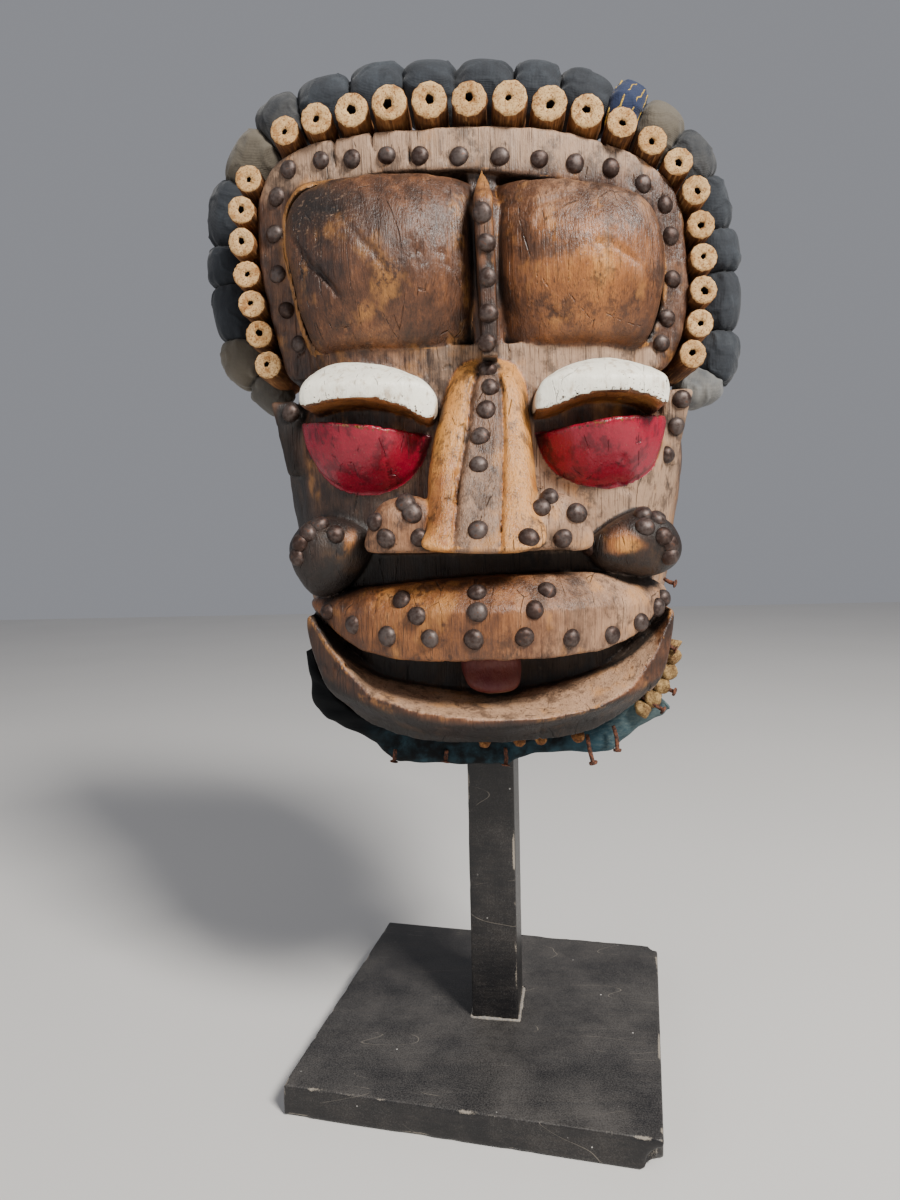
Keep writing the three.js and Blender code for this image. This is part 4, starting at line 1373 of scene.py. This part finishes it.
def woodVarying(place):
    look = woodLook
    warm = place.attribute("warm")
    grey = place.attribute("grey")
    sootAndShade = place.attribute("sootAndShade")
    occlusionShade = place.attribute("occlusion")
    wear = place.attribute("wear")
    grain = place.noise(1.6, (1, 1.4, 24), 4.0, 0.65)
    fibre = place.noise(0.55, (1, 1, 34), 2.0, 0.5, 7.0)
    patch = place.noise(30, (1, 1, 1.6), 3.0, 0.55, 3.0)
    small = place.noise(7, (1, 1, 1.5), 5.0, 0.65, 11.0)
    pores = place.noise(0.9, (1, 1, 3.5), 3.0, 0.7, 27.0)
    tone = warm + (patch - 0.5) * 1.2 + (small - 0.5) * 0.9 + (grain - 0.5) * 0.7
    colour = tone.between(-0.1, 0.5).blend(look["dark"], look["brown"])
    colour = tone.between(0.3, 0.85).blend(colour, look["amber"])
    colour = tone.between(0.7, 1.2).blend(colour, look["honey"])
    # A pale wash, partly dust and partly painted light, led by the grey values
    paleWash = (grey + (small - 0.5) * 0.8 + (patch - 0.5) * 0.7 + (grain - 0.5) * 0.8).between(0.05, 0.95)
    colour = (paleWash * 0.85).blend(colour, look["dust"])
    worn = (wear - 0.42 + (small - 0.5) * 0.5).between(0.0, 0.2)
    colour = (worn * 0.55).blend(colour, look["honey"])
    streak = (grain * 0.6 + fibre * 0.4).between(0.5, 0.66)
    colour = (streak * 0.75).blend(colour, look["dark"])
    blotch = place.noise(16, (1, 1, 1.2), 5.0, 0.72, 71.0).between(0.5, 0.62)
    colour = (blotch * 0.62).blend(colour, look["dark"])
    lit = place.noise(20, (1, 1, 1.4), 4.0, 0.6, 81.0).between(0.54, 0.7)
    colour = (lit * 0.45 * (1 - blotch)).blend(colour, look["honey"])
    colour = (pores.between(0.6, 0.72) * 0.5).blend(colour, look["dark"])
    # Soot, dark rings round the tacks and painted shade in folds and recesses darken the wood
    grimeAndShade = sootAndShade + place.attribute("tackRing") * 0.42 + occlusionShade * 0.85
    grimeAndShade = (grimeAndShade + (small - 0.5) * 0.8 + (grain - 0.5) * 0.4).between(0.3, 1.0)
    colour = (grimeAndShade * 0.9).blend(colour, look["sootAndShade"])
    # Hairline checks run with the grain, pale scratches cross the darkened upper left of the left lobe
    check = place.cells(13, (1, 1.5, 8), shift=4.0).between(0.016, 0.0) * small.between(0.5, 0.6)
    colour = (check * 0.6).blend(colour, look["sootAndShade"])
    scrape = place.noise(1.6, (2.2, 1, 1), 4.0, 0.7, 51.0).between(0.56, 0.68) * place.attribute("scraped")
    colour = (scrape * 0.45).blend(colour, look["dust"])
    # The paints, chipped where noise is high
    flake = place.noise(1.6, (1, 1, 1), 4.0, 0.7, 21.0)
    chips = (flake * 0.7 + wear * 0.24).between(0.505, 0.47)
    lid = place.attribute("lidPaint").between(0.4, 0.55) * chips
    # Brown stains on the white, deepened as painted shade where the lids are enclosed
    stainAndShade = (place.noise(4, (1, 1, 2), 4.0, 0.65, 31.0) + occlusionShade * 0.6).between(0.5, 0.74)
    kaolin = (stainAndShade * 0.6).blend(look["kaolin"], look["stain"])
    colour = lid.blend(colour, kaolin)
    # The red darkens at random, and as painted shade where the eyes are enclosed
    red = (small.between(0.42, 0.62) * 0.6 + occlusionShade * 1.1).between(0.1, 1.0)
    red = red.blend(look["red"], look["darkRed"])
    specks = place.noise(0.9, (1, 1, 1), 2.0, 0.5, 61.0).between(0.68, 0.74)
    red = (specks * 0.4).blend(red, look["dust"])
    eye = place.attribute("eyePaint").between(0.35, 0.6)
    redChips = (flake * 0.75 + wear * 0.3).between(0.58, 0.5)
    colour = (eye * redChips).blend(colour, red)
    colour = (place.attribute("tonguePaint").between(0.35, 0.6) * 0.9).blend(colour, look["tongue"])
    painted = lid.maths("MAXIMUM", lid, eye)
    roughness = 0.4 + paleWash * 0.18 + grimeAndShade * 0.12 - worn * 0.1 + (small - 0.5) * 0.35 - eye * 0.12
    height = grain * 0.7 * (1 - painted * 0.7) + fibre * 0.35 * (1 - painted) - check * 0.8
    height = height + lid * 0.8 + small * 0.7 + pores * 0.35 * (1 - painted * 0.5)
    return {"Base Color": colour, "Roughness": roughness, "Height": height, "Bump": (0.9, 0.9)}


carvedWood = newFinish("carvedWood", {"Specular IOR Level": 0.5}, woodVarying)

# Old iron, brown and grey in patches, with rust
ironLook = {
    "brown": tint(62, 46, 40),
    "grey": tint(98, 88, 84),
    "rust": tint(104, 62, 40),
}


def ironVarying(place):
    small = place.noise(2.4, (1, 1, 1), 3.0, 0.6, 2.0)
    large = place.noise(16, (1, 1, 1), 2.0, 0.5, 8.0)
    colour = (small * 0.6 + large * 0.5).between(0.42, 0.7).blend(ironLook["brown"], ironLook["grey"])
    colour = (small.between(0.58, 0.7) * 0.6).blend(colour, ironLook["rust"])
    roughness = 0.36 + small * 0.3
    return {"Base Color": colour, "Roughness": roughness, "Height": small, "Bump": (0.35, 0.4)}


oldIron = newFinish("oldIron", {"Metallic": 0.72}, ironVarying)

# Rusty nails, rougher than the studs
rustLook = {"dark": tint(52, 34, 28), "rust": tint(122, 74, 52)}


def rustVarying(place):
    small = place.noise(1.6, (1, 1, 1), 4.0, 0.65, 14.0)
    colour = small.between(0.4, 0.62).blend(rustLook["dark"], rustLook["rust"])
    return {"Base Color": colour, "Roughness": 0.7 + small * 0.25, "Height": small, "Bump": (0.6, 0.4)}


rustyIron = newFinish("rustyIron", {"Metallic": 0.25}, rustVarying)

# Stick wood: pale speckled ends, ochre sides streaked along their length
stickLook = {
    "straw": tint(176, 134, 84),
    "cream": tint(216, 178, 126),
    "ochre": tint(142, 92, 48),
    "bark": tint(78, 48, 28),
    "holeShade": tint(26, 18, 12),
}


def stickVarying(place):
    look = stickLook
    tone = place.attribute("tone")
    end = place.attribute("cutEnd")
    speck = place.noise(0.9, (1, 1, 1), 3.0, 0.7, 3.0)
    cloud = place.noise(4.5, (1, 1, 1), 3.0, 0.6, 9.0)
    streak = place.noise(1.4, (1, 14, 1), 3.0, 0.6, 17.0)
    face = (speck * 0.4 + cloud * 0.7 + tone * 0.08).between(0.35, 0.75).blend(look["straw"], look["cream"])
    face = (speck.between(0.5, 0.36) * 0.8 + cloud.between(0.46, 0.34) * 0.5).blend(face, look["ochre"])
    face = (speck.between(0.4, 0.31)).blend(face, look["bark"])
    side = (streak * 0.8 + cloud * 0.4 + tone * 0.1).between(0.4, 0.8).blend(look["bark"], look["ochre"])
    side = (streak.between(0.55, 0.7) * 0.7).blend(side, look["straw"])
    colour = end.between(0.4, 0.7).blend(side, face)
    # Painted shade, near black, inside the pith hole
    colour = place.attribute("holeShade").between(0.3, 0.8).blend(colour, look["holeShade"])
    height = speck * 0.7 * end + streak * 0.8 * (1 - end)
    return {"Base Color": colour, "Roughness": 0.75 + speck * 0.2, "Height": height, "Bump": (0.8, 0.5)}


stickWood = newFinish("stickWood", {"Specular IOR Level": 0.3}, stickVarying)

# Faded indigo cotton
clothLook = {
    "indigo": tint(36, 40, 46),
    "blue": tint(78, 86, 94),
    "black": tint(10, 10, 11),
    "taupe": tint(104, 95, 80),
    "pale": tint(150, 146, 138),
    "navy": tint(30, 44, 78),
}


def clothVarying(place):
    look = clothLook
    light = place.attribute("light")
    warm = place.attribute("warm")
    tieShade = place.attribute("tieShade")
    cloud = place.noise(12, (1, 1, 1), 4.0, 0.6, 2.0)
    lint = place.noise(1.3, (1, 1, 3), 3.0, 0.7, 6.0)
    colour = (light * 0.75 + (cloud - 0.5) * 0.9 + (lint - 0.5) * 0.35).between(0.0, 0.9)
    colour = colour.blend(look["indigo"], look["blue"])
    aged = (warm + (cloud - 0.5) * 0.6).between(0.2, 1.0)
    colour = (aged * 0.85).blend(colour, look["taupe"])
    pale = (light + (cloud - 0.5) * 0.5).between(0.65, 1.1)
    colour = (pale * 0.6).blend(colour, look["pale"])
    colour = (place.attribute("navy") * 0.85).blend(colour, look["navy"])
    # Painted shade, near black, where the roll is pinched at its ties
    colour = (tieShade.between(0.45, 0.95) * 0.9).blend(colour, look["black"])
    threads = {"Vector": place, "Scale": 420.0, "Distortion": 1.5, "Detail": 1.0}
    warp = place.node("TexWave", {"wave_type": "BANDS", "bands_direction": "X"}, threads)
    weft = place.node("TexWave", {"wave_type": "BANDS", "bands_direction": "Z"}, threads)
    crumple = place.noise(5, (1, 1, 1), 2.0, 0.5, 44.0)
    height = warp * 0.25 + weft * 0.25 + lint * 0.6 + crumple * 2.2
    return {"Base Color": colour, "Roughness": 0.62 + lint * 0.2, "Height": height, "Bump": (0.6, 0.5)}


rollCotton = newFinish("rollCotton", {"Specular IOR Level": 0.25, "Sheen Weight": 0.15}, clothVarying)

threadLook = {"yellow": tint(206, 170, 70), "worn": tint(120, 96, 52)}


def threadVarying(place):
    fine = place.noise(0.9, (1, 1, 1), 3.0, 0.6, 33.0)
    return {"Base Color": fine.between(0.4, 0.6).blend(threadLook["worn"], threadLook["yellow"]),
            "Roughness": 0.7 + fine * 0.2, "Height": fine, "Bump": (0.4, 0.3)}


yellowThread = newFinish("yellowThread", {"Specular IOR Level": 0.3}, threadVarying)

# The strip: blue green cotton gone grey, near black towards the left and greyer towards the right
stripLook = {"teal": tint(44, 70, 80), "dark": tint(12, 14, 16), "grey": tint(120, 132, 128)}


def stripVarying(place):
    look = stripLook
    cloud = place.noise(9, (1, 1, 1), 4.0, 0.6, 12.0)
    lint = place.noise(1.2, (3, 1, 1), 3.0, 0.7, 16.0)
    across = place.part("X")
    right = across.between(0.0, 0.09)
    middle = across.between(-0.075, -0.045)
    # Near black toward the left as painted shade; greyer toward the right, partly as painted light
    colour = ((cloud * 0.9 + right * 0.3).between(0.35, 0.75) * middle).blend(look["dark"], look["teal"])
    colour = ((lint * 0.5 + right * 0.5).between(0.55, 0.9) * 0.6).blend(colour, look["grey"])
    height = lint + cloud * 0.4
    return {"Base Color": colour, "Roughness": 0.85 + lint * 0.1, "Height": height, "Bump": (0.5, 0.4)}


stripCotton = newFinish("stripCotton", {"Specular IOR Level": 0.25}, stripVarying)

# Dry plant fibre
fibreLook = {"tan": tint(178, 146, 98), "brown": tint(92, 66, 42)}


def fibreVarying(place):
    strand = place.noise(0.8, (1, 4, 1), 4.0, 0.65, 5.0)
    cloud = place.noise(6, (1, 1, 1), 2.0, 0.5, 13.0)
    colour = (strand * 0.7 + cloud * 0.5).between(0.42, 0.78).blend(fibreLook["brown"], fibreLook["tan"])
    return {"Base Color": colour, "Roughness": 0.8 + strand * 0.15, "Height": strand, "Bump": (0.8, 0.5)}


dryFibre = newFinish("dryFibre", {"Specular IOR Level": 0.2}, fibreVarying)

# Black paint on wood: brush streaks, dust, specks and bare edges
paintLook = {
    "black": tint(20, 19, 21),
    "brown": tint(41, 37, 35),
    "dust": tint(128, 124, 120),
    "bare": tint(158, 148, 134),
    "speck": tint(212, 208, 202),
}


def paintVarying(place):
    look = paintLook
    worn = place.attribute("worn")
    cloud = place.noise(30, (1, 1, 1), 4.0, 0.6, 4.0)
    brush = place.noise(2.0, (18, 1, 1), 3.0, 0.6, 10.0)
    upright = place.noise(1.6, (1, 1, 26), 3.0, 0.6, 15.0)
    fine = place.noise(0.8, (1, 1, 1), 3.0, 0.7, 22.0)
    colour = (cloud * 0.6 + brush * 0.5 + upright * 0.15).between(0.5, 0.85)
    colour = colour.blend(look["black"], look["brown"])
    facing = place.node("NewGeometry", output="Normal")
    up = facing.part("Z").between(0.2, 0.9)
    paleWash = (cloud * 0.3 + fine * 0.6 + up * 0.14).between(0.42, 0.78)
    colour = (paleWash * 0.38).blend(colour, look["dust"])
    edge = (worn + (fine - 0.5) * 0.9 + (cloud - 0.5) * 0.6).between(0.55, 0.9)
    colour = (edge * 0.75).blend(colour, look["bare"])
    dots = place.cells(9, feature="F1", shift=9.0).between(0.07, 0.04) * cloud.between(0.52, 0.6)
    colour = (dots * 0.85).blend(colour, look["speck"])
    scratch = place.noise(34, (2.5, 0.7, 1), 1.0, 0.3, 2.0)
    line = abs(scratch - 0.5).between(0.0022, 0.0) * cloud.between(0.5, 0.58)
    colour = (line * 0.5).blend(colour, look["bare"])
    roughness = 0.42 + paleWash * 0.25 + edge * 0.2 + (brush - 0.5) * 0.2
    height = brush * 0.4 + fine * 0.25 - edge * 0.4 - line * 0.5
    return {"Base Color": colour, "Roughness": roughness, "Height": height, "Bump": (0.35, 0.4)}


blackPaint = newFinish("blackPaint", {"Specular IOR Level": 0.45}, paintVarying)


def glueVarying(place):
    fine = place.noise(1.5, (1, 1, 1), 3.0, 0.6, 3.0)
    return {"Base Color": fine.between(0.4, 0.65).blend(paintLook["dust"], paintLook["bare"]),
            "Roughness": 0.6 + fine * 0.2, "Height": fine, "Bump": (0.5, 0.4)}


oldGlue = newFinish("oldGlue", {"Specular IOR Level": 0.35}, glueVarying)

floorFinish = newFinish("floorFinish", {"Specular IOR Level": 0.1}, lambda place: {
    "Base Color": place.noise(300, (1, 1, 1), 1.0, 0.4).blend(tint(214, 212, 209), tint(220, 218, 215)),
    "Roughness": 0.85 + place.noise(90) * 0.1})


# How near each point of the wood is to a tack, for the dark ring left round it
def tackRings():
    points = pointsOf(mask)
    near = np.full(len(points), 1e9)
    for head, _ in heads:
        near = np.minimum(near, ((points - head.mean(0)) ** 2).sum(1))
    giveFloat(mask, "tackRing", smooth(10, 5, np.sqrt(near)))


tackRings()


def finish(things, material):
    for thing in things:
        thing.data.materials.clear()
        thing.data.materials.append(material)


finish([mask], carvedWood)
finish([tacks], oldIron)
finish([nails], rustyIron)
finish(sticks + [pegs], stickWood)
finish([clothRoll], rollCotton)
finish([knotThread], yellowThread)
finish([jawStrip], stripCotton)
finish([jawRope], dryFibre)
finish([standBase, standPost], blackPaint)
finish([glueLine], oldGlue)
print("finishes done")

# Camera, floor and light
cameraData = bpy.data.cameras.new("camera")
cameraData.lens = view["focal"]
cameraData.sensor_width = 36
cameraData.clip_start = 0.01
camera = bpy.data.objects.new("camera", cameraData)
camera.location = Vector(view["place"]) * mm
camera.rotation_euler = [math.radians(a) for a in view["turn"]]
bpy.context.scene.collection.objects.link(camera)
bpy.context.scene.camera = camera

# A little below the plate, so that the two faces never meet
floorHalf, floorTop = 3000, -0.5
floorCorners = [(x * floorHalf, y * floorHalf, floorTop) for x, y in ((-1, -1), (1, -1), (1, 1), (-1, 1))]
floor = meshObject("floor", floorCorners, [(0, 1, 2, 3)])
finish([floor], floorFinish)


def softLight(name, place, power, size, colour=(1, 1, 1)):
    data = bpy.data.lights.new(name, "AREA")
    data.energy = power
    data.size = size
    data.color = colour
    light = bpy.data.objects.new(name, data)
    light.location = place
    light.rotation_euler = (Vector((0, 0, 0.33)) - Vector(place)).to_track_quat("-Z", "Y").to_euler()
    bpy.context.scene.collection.objects.link(light)


softLight("key", (1.0, -1.25, 1.7), 82, 0.5, (1, 0.97, 0.92))
softLight("fill", (-1.5, -1.2, 0.8), 7, 1.4)
world = bpy.data.worlds.new("world")
bpy.context.scene.world = world
world.use_nodes = True
background = world.node_tree.nodes["Background"].inputs
background["Color"].default_value = (0.9, 0.92, 1, 1)
background["Strength"].default_value = 0.3
